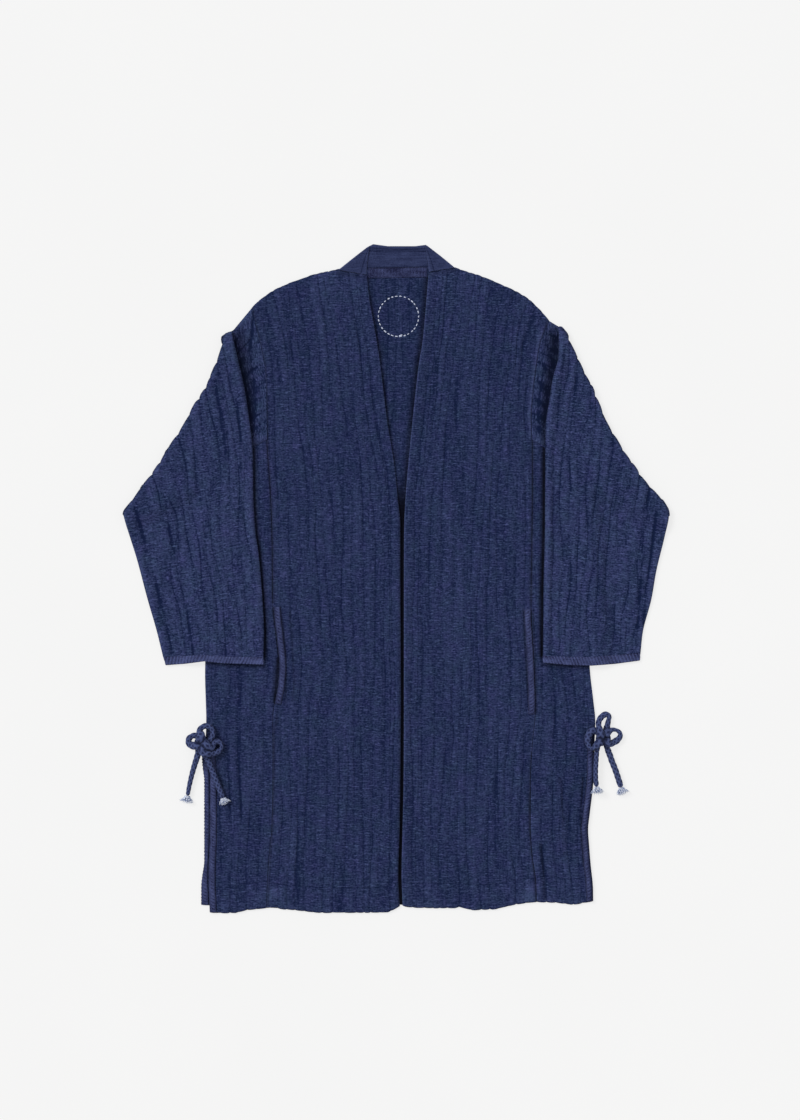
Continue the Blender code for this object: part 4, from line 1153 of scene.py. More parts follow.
# %% [markdown]
# ## Fronts, side panels and back
#
# Each front runs from the shoulder to the hem, between the long armhole seam and the turned front edge,
# which is stitched down a finger's width inside. A side panel carries on outwards from the same seam, and
# its own edge is open along the slit. The back is one wide panel, whose inside shows between the fronts.
# Beside a pocket and a slit the ridges are pressed flat under the binding.

# %% Creases, wear and shade of the fronts
FRONT_CREASES = {
    "right": (
        (0.9, 2.4, ((-196, 405), (-182, 350), (-174, 300), (-176, 240))),
        (0.7, 2.2, ((-170, 425), (-160, 380), (-156, 330))),
        (0.7, 2.0, ((-60, 440), (-57, 380), (-52, 300), (-48, 232))),
        (0.8, 2.2, ((-150, -300), (-147, -380), (-150, -450), (-146, -492))),
        (0.6, 2.0, ((-84, -420), (-80, -460), (-84, -497))),
    ),
    "left": (
        (0.9, 2.4, ((208, 395), (190, 350), (183, 290), (186, 230))),
        (0.7, 2.0, ((66, 440), (64, 380), (58, 300), (52, 240))),
        (0.7, 2.2, ((94, 330), (88, 270), (92, 200))),
        (0.8, 2.2, ((150, -290), (147, -370), (150, -440), (148, -490))),
        (0.6, 2.0, ((70, -400), (66, -450), (68, -490))),
    ),
}
FRONT_WORN = {
    "right": (
        (1.7, 9.0, (-184, -472)), (0.5, 14.0, (-60, 446)), (0.4, 22.0, (-110, 440)), (0.7, 5.0, (-216, 382)),
    ),
    "left": (
        (1.9, 7.0, (200, -464)), (1.7, 7.0, (199, -476)), (0.5, 14.0, (62, 448)), (0.4, 22.0, (112, 444)),
        (0.8, 4.0, (199, -262)), (0.8, 4.0, (196, -408)),
    ),
}
FRONT_WORN_LINES = {
    "right": ((1.0, 1.8, ((-218, 390), (-211, 354), (-207, 332), (-199, 305), (-196, 270))),),
    "left": ((2.0, 1.6, ((220, 372), (213.5, 356), (205.5, 308), (199.5, 248), (200.5, 208))),),
}
FRONT_LIFTS = {
    "right": (
        (2.6, 13.0, ((-41, 425), (-33, 377), (-25, 328), (-14, 238))),
        (1.3, 9.0, ((-6, 190), (5, 100), (6, -440))),
    ),
    "left": (
        (2.6, 13.0, ((44, 425), (39, 356), (33, 319), (24, 238))),
        (1.6, 9.0, ((18, 176), (12, 85), (9, -440))),
    ),
}
FRONT_SHADES = {
    "right": (
        (0.50, 2.6, ((3, 120), (6, 85), (6.5, -182), (5.5, -302), (4.5, -374), (3, -446), (4, -490))),
        (0.55, 1.5, ((-174, -43), (-169, -79), (-166, -113), (-165, -146), (-167, -187))),
        (0.30, 1.6, ((-160, -50), (-157, -80), (-155, -120), (-154, -160), (-156, -190))),
        (0.45, 2.2, ((-88, 458), (-44, 451))),
        (0.45, 1.6, (
            (-176, -190), (-183.5, -230), (-183.5, -302), (-185.5, -374), (-190, -431), (-193, -492),
        )),
        (0.42, 1.7, (
            (-216, 404), (-208, 370), (-197, 320), (-194, 268), (-193, 208), (-187, 116), (-185, 47),
            (-184, -36),
        )),
    ),
    "left": (
        (0.50, 1.6, ((190, -47), (194, -122), (198, -195))),
        (0.60, 1.6, ((202, -46), (206, -122), (208, -202))),
        (0.45, 2.2, ((88, 462), (48, 455))),
        (0.62, 1.9, ((203, -262), (199.5, -331), (199.5, -374), (203, -413), (208, -452), (209, -484))),
        (0.42, 1.7, (
            (226, 385), (216, 356), (208, 308), (202, 248), (203, 208), (203, 148), (202, 47), (201, -38),
        )),
    ),
}
for side in FRONT_CREASES:
    print(side, "front:", len(FRONT_CREASES[side]), "creases,", len(FRONT_SHADES[side]), "lines of shade")

# %% Fronts
FRONT_RIDGES = 14
FRONT_SEED = {"right": 21, "left": 41}
FRONT_RIM_WEAR = {"right": 1.0, "left": 1.7}
FRONT_LENGTH = 950.0
EDGE_STITCH = {"right": 17.0, "left": 21.0}
HEM_STITCH = 38.0
FRONTS = {
    "right": (FRONT_EDGE_RIGHT, HEM_RIGHT, (SHOULDER_RIGHT, NECK_SEAM_RIGHT)),
    "left": (FRONT_EDGE_LEFT, HEM_LEFT, (SHOULDER_LEFT, NECK_SEAM_LEFT)),
}
CALM_SHARE = 0.9
CALM_WIDTH = 14.0
CALM_EASE = 8.0
CALM_END = 20.0
POCKET_CALM_HALF = 85.0


def calmed(gap, inside):
    """The ridges' share at a gap from a binding: little of them is left close to it, where inside is 1."""
    near = np.clip(1 - (gap - CALM_WIDTH) / CALM_EASE, 0, 1)
    return 1 - CALM_SHARE * near * inside


for side, (front_edge, hem, top_tables) in FRONTS.items():
    pocket_middle = sum(POCKETS[side]) / 2

    def calm_pocket(plan, gap):
        past = abs(plan[..., 1] - pocket_middle) - POCKET_CALM_HALF
        return calmed(gap, np.clip(1 - past / CALM_END, 0, 1))

    top, low = line_across(*top_tables), line_across(hem)
    front = make_panel(
        f"front_{side}",
        (seam_line(SEAMS[side], -OUTWARD[side] * GAP / 2), seam_line(front_edge)),
        (low, top),
        FRONT_RIDGES, FRONT_LENGTH, FRONT_UNDER, FRONT_SEED[side], body_cloth,
        calm=calm_pocket, creases=FRONT_CREASES[side], worn=FRONT_WORN[side],
        stitches=(("right", EDGE_STITCH[side]), ("low", HEM_STITCH)),
        lifts=FRONT_LIFTS[side], shades=FRONT_SHADES[side], rim_wear=FRONT_RIM_WEAR[side],
        worn_lines=FRONT_WORN_LINES[side],
    )
    area = plan_area((seam_line(SEAMS[side]), top), (seam_line(front_edge), low))
    print("front", side, "area", round(area, 4), "m2")

# %% Side panels
SIDE_RIDGES = 6
SIDE_SEED = {"right": 61, "left": 71}
SIDE_LENGTH = 670.0
SLIT_STITCH = 10.0
SLIT_CALM_MARGIN = 40.0
SIDE_HEMS = {"right": SIDE_HEM_RIGHT, "left": SIDE_HEM_LEFT}
SIDE_CREASES = {
    "right": (
        (0.9, 2.2, ((-236, -120), (-233, -200), (-236, -280), (-232, -360))),
        (0.7, 2.0, ((-252, -240), (-250, -330), (-254, -430))),
    ),
    "left": (
        (1.0, 2.2, ((217, -403), (221, -446), (220, -482))),
        (0.9, 2.2, ((240, -130), (238, -220), (242, -300), (238, -380))),
        (0.7, 2.0, ((262, -240), (258, -330), (262, -430))),
    ),
}
SIDE_SHADES = {
    "right": (
        (0.92, 4.4, tuple((x, y) for y, x in INNER_FOREARM_RIGHT)),
        (0.45, 3.0, ((-284, -127), (-258, -130), (-199, -132))),
        (0.60, 1.5, ((-186, -44), (-183, -64), (-180, -88), (-177, -118))),
        (0.42, 1.5, ((-195, 208), (-189, 116), (-187, 47), (-186, -36))),
        (0.85, 2.6, ((-178, -120), (-179, -142), (-181, -160), (-183, -184))),
    ),
    "left": (
        (0.98, 4.2, tuple((x - 1.6, y) for y, x in INNER_FOREARM_LEFT)),
        (0.45, 3.0, ((290, -133), (255, -132), (219, -129))),
        (0.50, 1.5, ((204, -46), (208, -122), (210, -202))),
        (0.42, 1.5, ((205, 208), (205, 148), (204, 47), (203, -38))),
        (0.50, 1.9, ((216, -399), (220, -440), (222, -481))),
        (0.38, 1.8, ((246, -300), (248, -331), (251, -413))),
        (0.38, 1.8, ((264, -257), (260, -298))),
        (0.55, 1.7, ((279, -298), (276, -360), (278, -400), (281, -432))),
    ),
}
SIDE_WORN = {"right": ((0.8, 8.0, (-203, -474)),), "left": ((0.8, 8.0, (214, -466)),)}


def calm_slit(plan, gap):
    """The ridges' share beside a slit, and a little way above its top."""
    return calmed(gap, ramp(SLIT_TOP + SLIT_CALM_MARGIN - plan[..., 1], CALM_END))


for side, hem in SIDE_HEMS.items():
    inner = seam_line(SEAMS[side], OUTWARD[side] * GAP / 2, upper_rows=0)
    outer, low = edge_line(SIDE_EDGES[side][0]), line_across(hem)
    panel = make_panel(
        f"side_panel_{side}",
        (outer, inner),
        (low, line_across((outer(1.0), inner(1.0)))),
        SIDE_RIDGES, SIDE_LENGTH, FRONT_UNDER, SIDE_SEED[side], body_cloth,
        calm=calm_slit, creases=SIDE_CREASES[side], worn=SIDE_WORN[side], shades=SIDE_SHADES[side],
        stitches=(("left", SLIT_STITCH), ("low", HEM_STITCH)),
    )
    area = plan_area((outer,), (inner, low))
    print("side panel", side, "area", round(area, 4), "m2")

# %% Back
BACK_RIDGES = 34
BACK_SEED = 81
BACK_LENGTH = 950.0
BACK_RIDGE = 0.55
BACK_STEP = 5.2
BACK_VALLEY_STEPS = (0.0, 0.25, 0.6)
COLLAR_FROM = 455.0


def back_side(table, seam, shift):
    """The back's edge by share: its own side up to the underarm, then the armhole seam."""
    lower = edge_line(table, high=UNDERARM, shift=shift)
    upper = edge_line(seam, low=UNDERARM, shift=shift)

    def at(share):
        row = np.asarray(share, float) * (BODY_ROWS + ARMHOLE_ROWS)
        low_part, high_part = lower(row / BODY_ROWS), upper((row - BODY_ROWS) / ARMHOLE_ROWS)
        return np.where((row <= BODY_ROWS)[..., None], low_part, high_part)

    return at


def under_fronts(plan):
    """Shade on the back: strong in the narrow gap between the fronts, soft along both edges above it."""
    heights = plan[..., 1]
    right, left = read_line(FRONT_EDGE_RIGHT, heights), read_line(FRONT_EDGE_LEFT, heights)
    from_right, from_left = plan[..., 0] - right, left - plan[..., 0]
    beside_right = 0.55 * bell(from_right - 1.0, 2.8)
    beside_left = 0.66 * bell(from_left - 1.0, 5.5)
    gap = 0.97 * (1 - soft_step((left - right - 7.0) / 14.0)) * (np.minimum(from_right, from_left) > -8.0)
    return np.where(heights < COLLAR_FROM, np.maximum.reduce([beside_right, beside_left, gap]), 0.0)


back_right = back_side(BACK_SIDE_RIGHT, SEAM_RIGHT, GAP / 2)
back_left = back_side(BACK_SIDE_LEFT, SEAM_LEFT, -GAP / 2)
back_shoulders = line_across(SHOULDER_RIGHT[:-1], NECKLINE, SHOULDER_LEFT[:-1][::-1])
back = make_panel(
    "back", (back_right, back_left), (line_across(BACK_HEM), back_shoulders),
    BACK_RIDGES, BACK_LENGTH, 0.0, BACK_SEED, inside_cloth, step=BACK_STEP, ridge=BACK_RIDGE,
    columns=ridge_samples(2 * BACK_RIDGES, BACK_VALLEY_STEPS), swell=0.0, shade_by=under_fronts,
)
area = plan_area((back_right, back_shoulders), (back_left,), count=80)
print("back area", round(area, 4), "m2")

# %% [markdown]
# ## Sleeves, folded over
#
# A sleeve is a tube that narrows to its cuff. Laid out, it is pressed flat, and its forearm is folded over
# along a slanted line so that the cuff points to the hem. Two flat sheets would show open edges, so each
# stretch is one grid that runs across the top, round the pressed edge and back underneath. It is drawn
# shut along the fold and left open at the other end, and Solidify gives it the thickness of the cloth.
#
# The forearm lies on the coat's side and, past that, on the floor, so its height drops where the coat
# ends.

# %% Height of the forearm above the floor
def drop(plan, side):
    """Share of the forearm's full height: 1 over the coat, 0 well beside it."""
    out = OUTWARD[side]
    tip = np.array((out * FOLD_TIP[0], FOLD_TIP[1]))
    underarm = np.array((float(read_line(SEAMS[side], UNDERARM)), UNDERARM))
    along = (underarm - tip) / np.linalg.norm(underarm - tip)
    below = (plan - tip) @ np.array((along[1] * -out, along[0] * out))
    table = SIDE_EDGES[side][0]
    beyond = out * (plan[..., 0] - read_line(table, np.minimum(plan[..., 1], max(table)[0])))
    return 1.0 - soft_step((np.minimum(below, beyond) - FOREARM_CLEAR) / FOREARM_DROP)


print("drop over the coat and beside it:", drop(np.array(((-230.0, 0.0), (-360.0, 0.0))), "right").round(2))


# %% Make a pressed tube of crinkled cloth
FOLD_SWELL = 1.1
FOLD_SWELL_AT = 6.0
TUBE_SWELL = (0.7, 120, 40)
TUBE_SCALLOP = 3.3
TUBE_SCALLOP_REACH = 3.5
UNDERSIDE_MAP_SHIFT = 300.0


def rolled(over, beneath):
    """The columns of a tube: those of its top, then those of its underside back to the first edge."""
    return np.concatenate([over, beneath[:, -2:0:-1], over[:, :1]], axis=1)


def make_tube(node, plan, column, share, last, side_gaps, end_gaps, base, thick, seed, finish, turn,
              creases=(), lifts=(), ridge=RIDGE, worn=(), shade_by=None, scallop=None):
    """A flattened tube over plan points: rows along it, columns across its top.

    side_gaps are each point's distances from the two pressed edges, end_gaps those from the shut fold
    and from the open end. turn is the angle of the cloth's grain from straight up the coat.
    """
    shut, open_end = end_gaps
    edge = np.minimum(*side_gaps)
    rim = np.minimum(edge, shut)
    along, sideways = share * (shut + open_end).mean(), column * COLUMN_MM
    height = crinkle(column, share, along, last, seed)

    half = thick / 2
    nearness = 1 - ramp(rim, half)
    roundness = np.sqrt(1 - nearness * nearness)
    fade = ramp(edge, 5) * (0.35 + 0.65 * ramp(np.minimum(shut, open_end + 3), 6))
    fold_swell = FOLD_SWELL * bell(rim - FOLD_SWELL_AT, 5)
    top = base + half + half * roundness + ridge * height * fade + fold_swell * roundness
    top += swells(TUBE_SWELL, seed + 4, along, sideways) * fade
    under = base + half - half * roundness
    crest = height.copy()
    press_creases(top, crest, plan, creases, dulled=0.6)
    top += beside(plan, lifts) * fade
    if scallop is not None:
        bulge = TUBE_SCALLOP * (height - 0.55) * np.exp(-shut / TUBE_SCALLOP_REACH)
        plan = plan + bulge[..., None] * np.array(scallop)

    wear = with_spots(bell(edge - 2.5, 3.0) + 0.4 * bell(shut - 3.0, 2.2), plan, worn)
    shade = RIM_SHADE * bell(shut, RIM_SHADE_WIDTH)
    if shade_by is not None:
        shade = np.maximum(shade, shade_by(plan))
    grain = np.array(((cos(turn), -sin(turn)), (sin(turn), cos(turn))))
    cloth_map = crooked_map(plan @ grain, seed)

    where = rolled(np.dstack([plan, top]), np.dstack([plan, under]))
    cloth_map = rolled(cloth_map, cloth_map + UNDERSIDE_MAP_SHIFT)
    values = {
        "crest": rolled(crest, np.full(crest.shape, 0.5)),
        "wear": rolled(wear, wear),
        "stitch_line": NO_STITCHES,
        "shade": rolled(shade, shade),
    }
    piece = add_shell(f"{node}_cloth", where, cloth_map, values, finish, SHELL, seams=True)
    stand_for(piece, node)
    print(piece.name, where.shape[:2], "points, top", top.min().round(1), "to", top.max().round(1), "mm")
    return piece


print("the cloth swells by", FOLD_SWELL, "mm beside a fold")

# %% Forearms
FOREARM_RIDGES = 13
FOREARM_SEED = {"right": 91, "left": 101}
FOREARM_STEP = 4.2
FOREARM_WOBBLE = (1.6, 50, 22)
WOBBLE_SEED = 91
FOREARM_SCALLOP = (0.8, 0.6)
CUFF_AT = -116.0
FOREARM_LENGTH = 345.0
FOREARM_TURN = {"right": radians(8), "left": radians(-7)}
FOREARMS = {
    "right": (OUTER_FOREARM_RIGHT, INNER_FOREARM_RIGHT, CUFF_SEAM_RIGHT, FOLD_RIGHT),
    "left": (OUTER_FOREARM_LEFT, INNER_FOREARM_LEFT, CUFF_SEAM_LEFT, FOLD_LEFT),
}
FOREARM_CREASES = {
    "right": (
        (1.5, 2.0, ((-352, 132), (-347, 118), (-341, 77), (-309, -77), (-303, -115))),
        (0.9, 2.2, ((-392, 105), (-380, 70), (-357, -20), (-344, -70), (-336, -112))),
        (0.8, 2.0, ((-272, 296), (-262, 240), (-256, 190), (-258, 150))),
        (0.7, 2.0, ((-250, 330), (-240, 280), (-234, 220), (-232, 160))),
    ),
    "left": (
        (1.5, 2.0, ((380, 140), (377, 125), (370, 60), (362, -60), (359, -107))),
        (0.9, 2.2, ((388, 100), (384, 60), (374, -20), (370, -70))),
        (0.8, 2.0, ((270, 300), (262, 240), (258, 180), (262, 130))),
        (0.7, 2.0, ((250, 340), (244, 280), (240, 220))),
    ),
}
FOREARM_NEPS = {"right": ((1.5, 1.7, (-256, 143)),), "left": ((1.5, 1.7, (235, -86)),)}
FOREARM_LIFTS = {
    "right": (
        (3.0, 9.0, ((-243, 345), (-229, 290), (-224, 250))),
        (1.8, 7.0, ((-220, 220), (-216, 70), (-203, -100))),
    ),
    "left": (
        (3.0, 9.0, ((246, 350), (236, 290), (230, 250))),
        (1.8, 7.0, ((228, 220), (227, 70), (224, -100))),
    ),
}

for side, (outer_edge, inner_edge, cuff_seam, fold) in FOREARMS.items():
    last = 2 * FOREARM_RIDGES
    outer, inner = edge_line(outer_edge), edge_line(inner_edge)
    fold_line, seam_at = line_across((outer(1.0),), fold, (inner(1.0),)), line_across(cuff_seam)
    column, share = np.meshgrid(ridge_samples(last), rim_steps(FOREARM_LENGTH, FOREARM_STEP))
    across = wandering(column, share, last)
    plan = coons(outer, inner, seam_at, fold_line, across, share)
    width = np.linalg.norm(inner(share) - outer(share), axis=-1)
    from_outer, from_inner = across * width, (1 - across) * width
    to_fold, to_cuff = distance_to(plan, fold_line(np.linspace(0, 1, 24))), plan[..., 1] - CUFF_AT
    wobble = swells(FOREARM_WOBBLE, WOBBLE_SEED, share * FOREARM_LENGTH, column * COLUMN_MM)
    plan[..., 0] += wobble * ramp(from_outer, WOBBLE_FROM) * ramp(from_inner, WOBBLE_FROM)
    forearm = make_tube(
        f"sleeve_{side}", plan, column, share, last, (from_outer, from_inner), (to_fold, to_cuff),
        FOREARM_UNDER * drop(plan, side), FOREARM_THICK, FOREARM_SEED[side], sleeve_cloth,
        FOREARM_TURN[side], creases=FOREARM_CREASES[side], lifts=FOREARM_LIFTS[side], worn=FOREARM_NEPS[side],
        scallop=(OUTWARD[side] * FOREARM_SCALLOP[0], FOREARM_SCALLOP[1]),
    )
    area = plan_area((outer, fold_line), (inner, seam_at))
    print("forearm", side, "area all round", round(2 * area, 4), "m2")

# %% Roots of the sleeves
ROOT_RIDGES = 12
ROOT_SEED = {"right": 111, "left": 121}
ROOT_RIDGE = 1.4
ROOT_STEPS = 46
ARMHOLE_TUCK = 0.35
LOW_TUCK = 1.2
ROOT_TURN = {"right": radians(98), "left": radians(-98)}
ROOTS = {"right": (FOLD_RIGHT, INNER_FOREARM_RIGHT), "left": (FOLD_LEFT, INNER_FOREARM_LEFT)}
ROOT_HOLLOWS = {
    "right": (
        (2.1, 9.0, ((-246, 360), (-233, 320), (-226, 280), (-219, 232))),
        (0.7, 2.2, ((-214, 400), (-219, 340), (-212, 280), (-214, 220))),
        (0.8, 1.6, ((-204, 246), (-219, 238))),
        (0.7, 1.6, ((-206, 282), (-222, 268))),
        (0.7, 1.6, ((-209, 318), (-227, 300))),
    ),
    "left": (
        (2.1, 9.0, ((240, 358), (236, 310), (228, 270), (222, 232))),
        (0.4, 2.0, ((222, 320), (212, 260), (214, 220))),
        (0.9, 1.7, ((206, 273), (225, 256))),
        (0.8, 1.6, ((207, 240), (221, 228))),
        (0.8, 1.6, ((210, 297), (229, 279))),
        (0.7, 1.6, ((213, 325), (234, 305))),
    ),
}


def under_forearm(side, inner_edge):
    """Shade on a root beside the forearm: a wedge that widens towards the shoulder."""

    def at(plan):
        away = OUTWARD[side] * (read_line(inner_edge, plan[..., 1]) - plan[..., 0])
        wide = 9.0 + 17.0 * np.clip((plan[..., 1] - 225) / 110, 0, 1.2)
        return 0.56 * (1 - soft_step((away / wide - 0.25) / 0.85)) * ramp(388 - plan[..., 1], 30)

    return at


for side, (fold, inner_edge) in ROOTS.items():
    out = OUTWARD[side]
    last = 2 * ROOT_RIDGES
    fold_line = line_across(fold)
    armhole = edge_line(SEAMS[side], low=UNDERARM + GAP, shift=-out * ARMHOLE_TUCK)
    shoulder = np.array((inner_edge[0][1] - 3 * out, inner_edge[0][0] + 2))

    def fold_side(rise):
        return fold_line(rise) - np.array((out * FOLD_INSET, 0))

    top_line = line_across((fold_side(1.0), shoulder, armhole(1.0)))
    low_line = line_across((fold_side(0.0), armhole(0.0)))
    part = 1 - (1 - np.linspace(0, 1, ROOT_STEPS)) ** 1.7
    rise_columns, out_share = np.meshgrid(ridge_samples(last), part)
    rise = wandering(rise_columns, 0.4 * out_share, last)
    plan = coons(fold_side, armhole, low_line, top_line, out_share, rise)
    plan[..., 1] -= LOW_TUCK * (1 - rise) ** 8
    reach = np.linalg.norm(armhole(rise) - fold_side(rise), axis=-1)
    tall = np.linalg.norm(armhole(1.0) - armhole(0.0))
    root = make_tube(
        f"sleeve_{side}_root", plan, rise_columns, out_share, last,
        (rise * tall, (1 - rise) * tall), (out_share * reach, (1 - out_share) * reach),
        np.zeros(rise.shape), FRONT_TOP, ROOT_SEED[side], sleeve_cloth, ROOT_TURN[side],
        creases=ROOT_HOLLOWS[side], ridge=ROOT_RIDGE, shade_by=under_forearm(side, inner_edge),
    )
    area = plan_area((fold_side, top_line), (armhole, low_line))
    print("root", side, "area all round", round(2 * area, 4), "m2")

# %% [markdown]
# ## Ribbed bindings
#
# The cuffs, the pocket mouths and the slits are bound with a narrow purple-blue tape that is whipped down
# by hand, so it shows slanted ribs about five millimetres apart. Slanted stripes of colour would do from
# far away, but the ribs also make the small scalloped edge that the bindings have. So each rib is a low
# wave in the mesh, and the same wave paints a highlight on each rib's crest and shade between the ribs
# into the material.

# %% Finish of the bindings
BINDING_DARK = (0.0095, 0.0112, 0.0430, 1.0)
BINDING_LIGHT = (0.0900, 0.1130, 0.2680, 1.0)
BINDING_SHADE = (0.0022, 0.0036, 0.0210, 1.0)


def binding_finish(name, tone, rib_light_and_shade):
    """Purple-blue tape: painted highlights on its rib crests, painted shade between ribs and at its edges."""
    finish = Finish(name, roughness=0.9, specular=0.1, sheen=0.03)
    place = finish.node("ShaderNodeUVMap", {"uv_map": "cloth"}, {})
    rib = finish.attribute("rib")
    wear = finish.attribute("wear")
    shade = finish.attribute("shade")
    yarn = finish.noise(place, (600, 600, 1), detail=2.0)
    blot = finish.noise(place, (90, 40, 3), detail=2.0)
    # painted highlight on the rib crests and painted shade between them, through the rib attribute
    mixed = tone + rib * rib_light_and_shade * 0.5 + yarn * 1.2 + blot * 1.2 + wear * 0.16
    tape = finish.blend(mixed.above(0.5, 1.0), BINDING_DARK, BINDING_LIGHT)
    # painted shade along the tape's edges, from the shade attribute
    finish.feed("Base Color", finish.blend(shade, tape, BINDING_SHADE))
    finish.bump(yarn, distance=0.0006, strength=0.6)
    return finish


cuff_binding = {
    "right": binding_finish("cuff_binding_right", tone=0.40, rib_light_and_shade=0.46),
    "left": binding_finish("cuff_binding_left", tone=0.34, rib_light_and_shade=0.46),
}
strip_binding = binding_finish("strip_binding", tone=0.36, rib_light_and_shade=0.50)
tape_binding = binding_finish("tape_binding", tone=0.22, rib_light_and_shade=0.15)
RIB_PITCH = 4.9
RIB_BOW = 0.9
RIB_SLANT = 0.55
RIB_HEIGHT = 0.38
print("bindings have a rib every", RIB_PITCH, "mm")


# %% Make a flat ribbed strip
STRIP_COLUMNS = 11
STRIP_STEP = 0.85
STRIP_EDGE = 1.6
EDGE_BULGE = 0.40
END_SHADE = 0.9


def make_strip(name, node, near, far, under, finish, length, columns=STRIP_COLUMNS, slant=RIB_SLANT,
               crown_rise=0.8, edge_shade=(0.55, 0.55), shade_width=(1.5, 1.5), painted_shadow_top=0.0):
    """A ribbed strip between two lines given as functions of a share."""
    shares = np.linspace(0, 1, int(length / STRIP_STEP))
    across, share = np.meshgrid(np.linspace(0, 1, columns), shares)
    left, right = near(share), far(share)
    plan = left * (1 - across[..., None]) + right * across[..., None]
    width = np.linalg.norm(right - left, axis=-1)
    from_near, from_far, along = across * width, (1 - across) * width, share * length
    bow = RIB_BOW * (2 * across - 1) ** 2
    drift = 1.3 * soft_noise(len(name), along, across, 15, 9) + 0.5 * soft_noise(3, along, across, 5, 9)
    rib = np.sin(2 * pi * (along + slant * across * width - bow + drift) / RIB_PITCH)
    rib *= 0.8 + 0.35 * soft_noise(8, along, across, 11, 9)

    edge = np.minimum.reduce([from_near, from_far, along, length - along])
    crown = ramp(edge, STRIP_EDGE)
    level = under + BAND * (0.35 + 0.65 * np.sqrt(crown * (2 - crown)))
    level = level + RIB_HEIGHT * rib * (0.3 + 0.7 * crown) + crown_rise * np.sin(pi * across)
    bulge = EDGE_BULGE * rib * (abs(across - 0.5) > 0.45) * np.sign(across - 0.5)
    plan = plan + (right - left) / np.maximum(width, 0.01)[..., None] * bulge[..., None]

    # painted shade along both long edges, and a painted shadow over the top end where a knot lies on it
    near_shade = edge_shade[0] * bell(from_near, shade_width[0])
    shade = np.maximum(near_shade, edge_shade[1] * bell(from_far, shade_width[1]))
    if painted_shadow_top:
        shade = np.maximum(shade, END_SHADE * bell(length - along, painted_shadow_top))
    values = {"rib": rib * np.sin(pi * across) ** 2, "wear": 0.0, "shade": shade}
    where, cloth_map = np.dstack([plan, level]), np.dstack([from_near, along])
    piece = add_shell(name, where, cloth_map, values, finish, 0.8 * BAND)
    stand_for(piece, node)
    print(name, where.shape[:2], "points")
    return piece


print("a strip has a row of points every", STRIP_STEP, "mm")

# %% Pocket welts and slit bands
POCKET_SHADE = {"right": (0.8, 0.7), "left": (0.35, 0.5)}
SLIT_SHADE = {"right": (0.5, 0.6), "left": (0.97, 0.6)}
SLIT_SHADE_WIDTH = {"right": (1.5, 1.5), "left": (3.4, 1.5)}
KNOT_SHADE = 32.0

for side, seam in SEAMS.items():
    low, high = POCKETS[side]
    near = edge_line(seam, low, high, shift=-OUTWARD[side] * 2 * GAP)
    far = edge_line(seam, low, high, shift=-OUTWARD[side] * BAND_WIDTH)
    make_strip(
        f"welt_{side}", f"pocket_welt_{side}", near, far, FRONT_TOP + GAP, strip_binding, high - low,
        edge_shade=POCKET_SHADE[side],
    )

for side, (edge, _) in SIDE_EDGES.items():
    low, high = min(edge)[0] + 2 * GAP, SLIT_TOP
    near = edge_line(edge, low, high, shift=-OUTWARD[side] * 2 * GAP)
    far = edge_line(edge, low, high, shift=-OUTWARD[side] * BAND_WIDTH)
    make_strip(
        f"slit_edge_{side}", f"slit_band_{side}", near, far, FRONT_TOP + GAP, strip_binding, high - low,
        edge_shade=SLIT_SHADE[side], shade_width=SLIT_SHADE_WIDTH[side],
    )

low, high = min(BACK_SIDE_RIGHT)[0] + 2 * GAP, SLIT_TOP - BAND_WIDTH
near = edge_line(BACK_SIDE_RIGHT, low, high, shift=2 * GAP)
far = edge_line(SIDE_RIGHT, low, high, shift=-2 * GAP)
make_strip(
    "slit_edge_right_back", "slit_band_right_back", near, far, BACK_TOP + GAP, strip_binding, high - low,
    painted_shadow_top=KNOT_SHADE,
)

# %% Cuffs: a ribbed ring round each sleeve's mouth
CUFF_THICK = FOREARM_THICK + 0.6
CUFF_STEP = 0.85
CUFF_BEND_STEPS = 10
CUFF_TUCK = 0.4
CUFF_SLANT_LENGTH = 11.0
CUFF_LENGTH = 12.0
CUFF_SEED = {"right": 4, "left": 6}
CUFFS = {"right": (CUFF_SEAM_RIGHT, CUFF_END_RIGHT), "left": (CUFF_SEAM_LEFT, CUFF_END_LEFT)}
CUFF_PROFILE = (
    (0.0, 0.25), (0.08, 0.0), (0.2, 0.0), (0.35, 0.0), (0.5, 0.0), (0.65, 0.0), (0.8, 0.0), (0.9, 0.05),
    (0.97, 0.3), (1.0, 0.65), (0.97, 1.0), (0.9, 1.25), (0.5, 1.3), (0.0, 1.3), (0.0, 0.25),
)

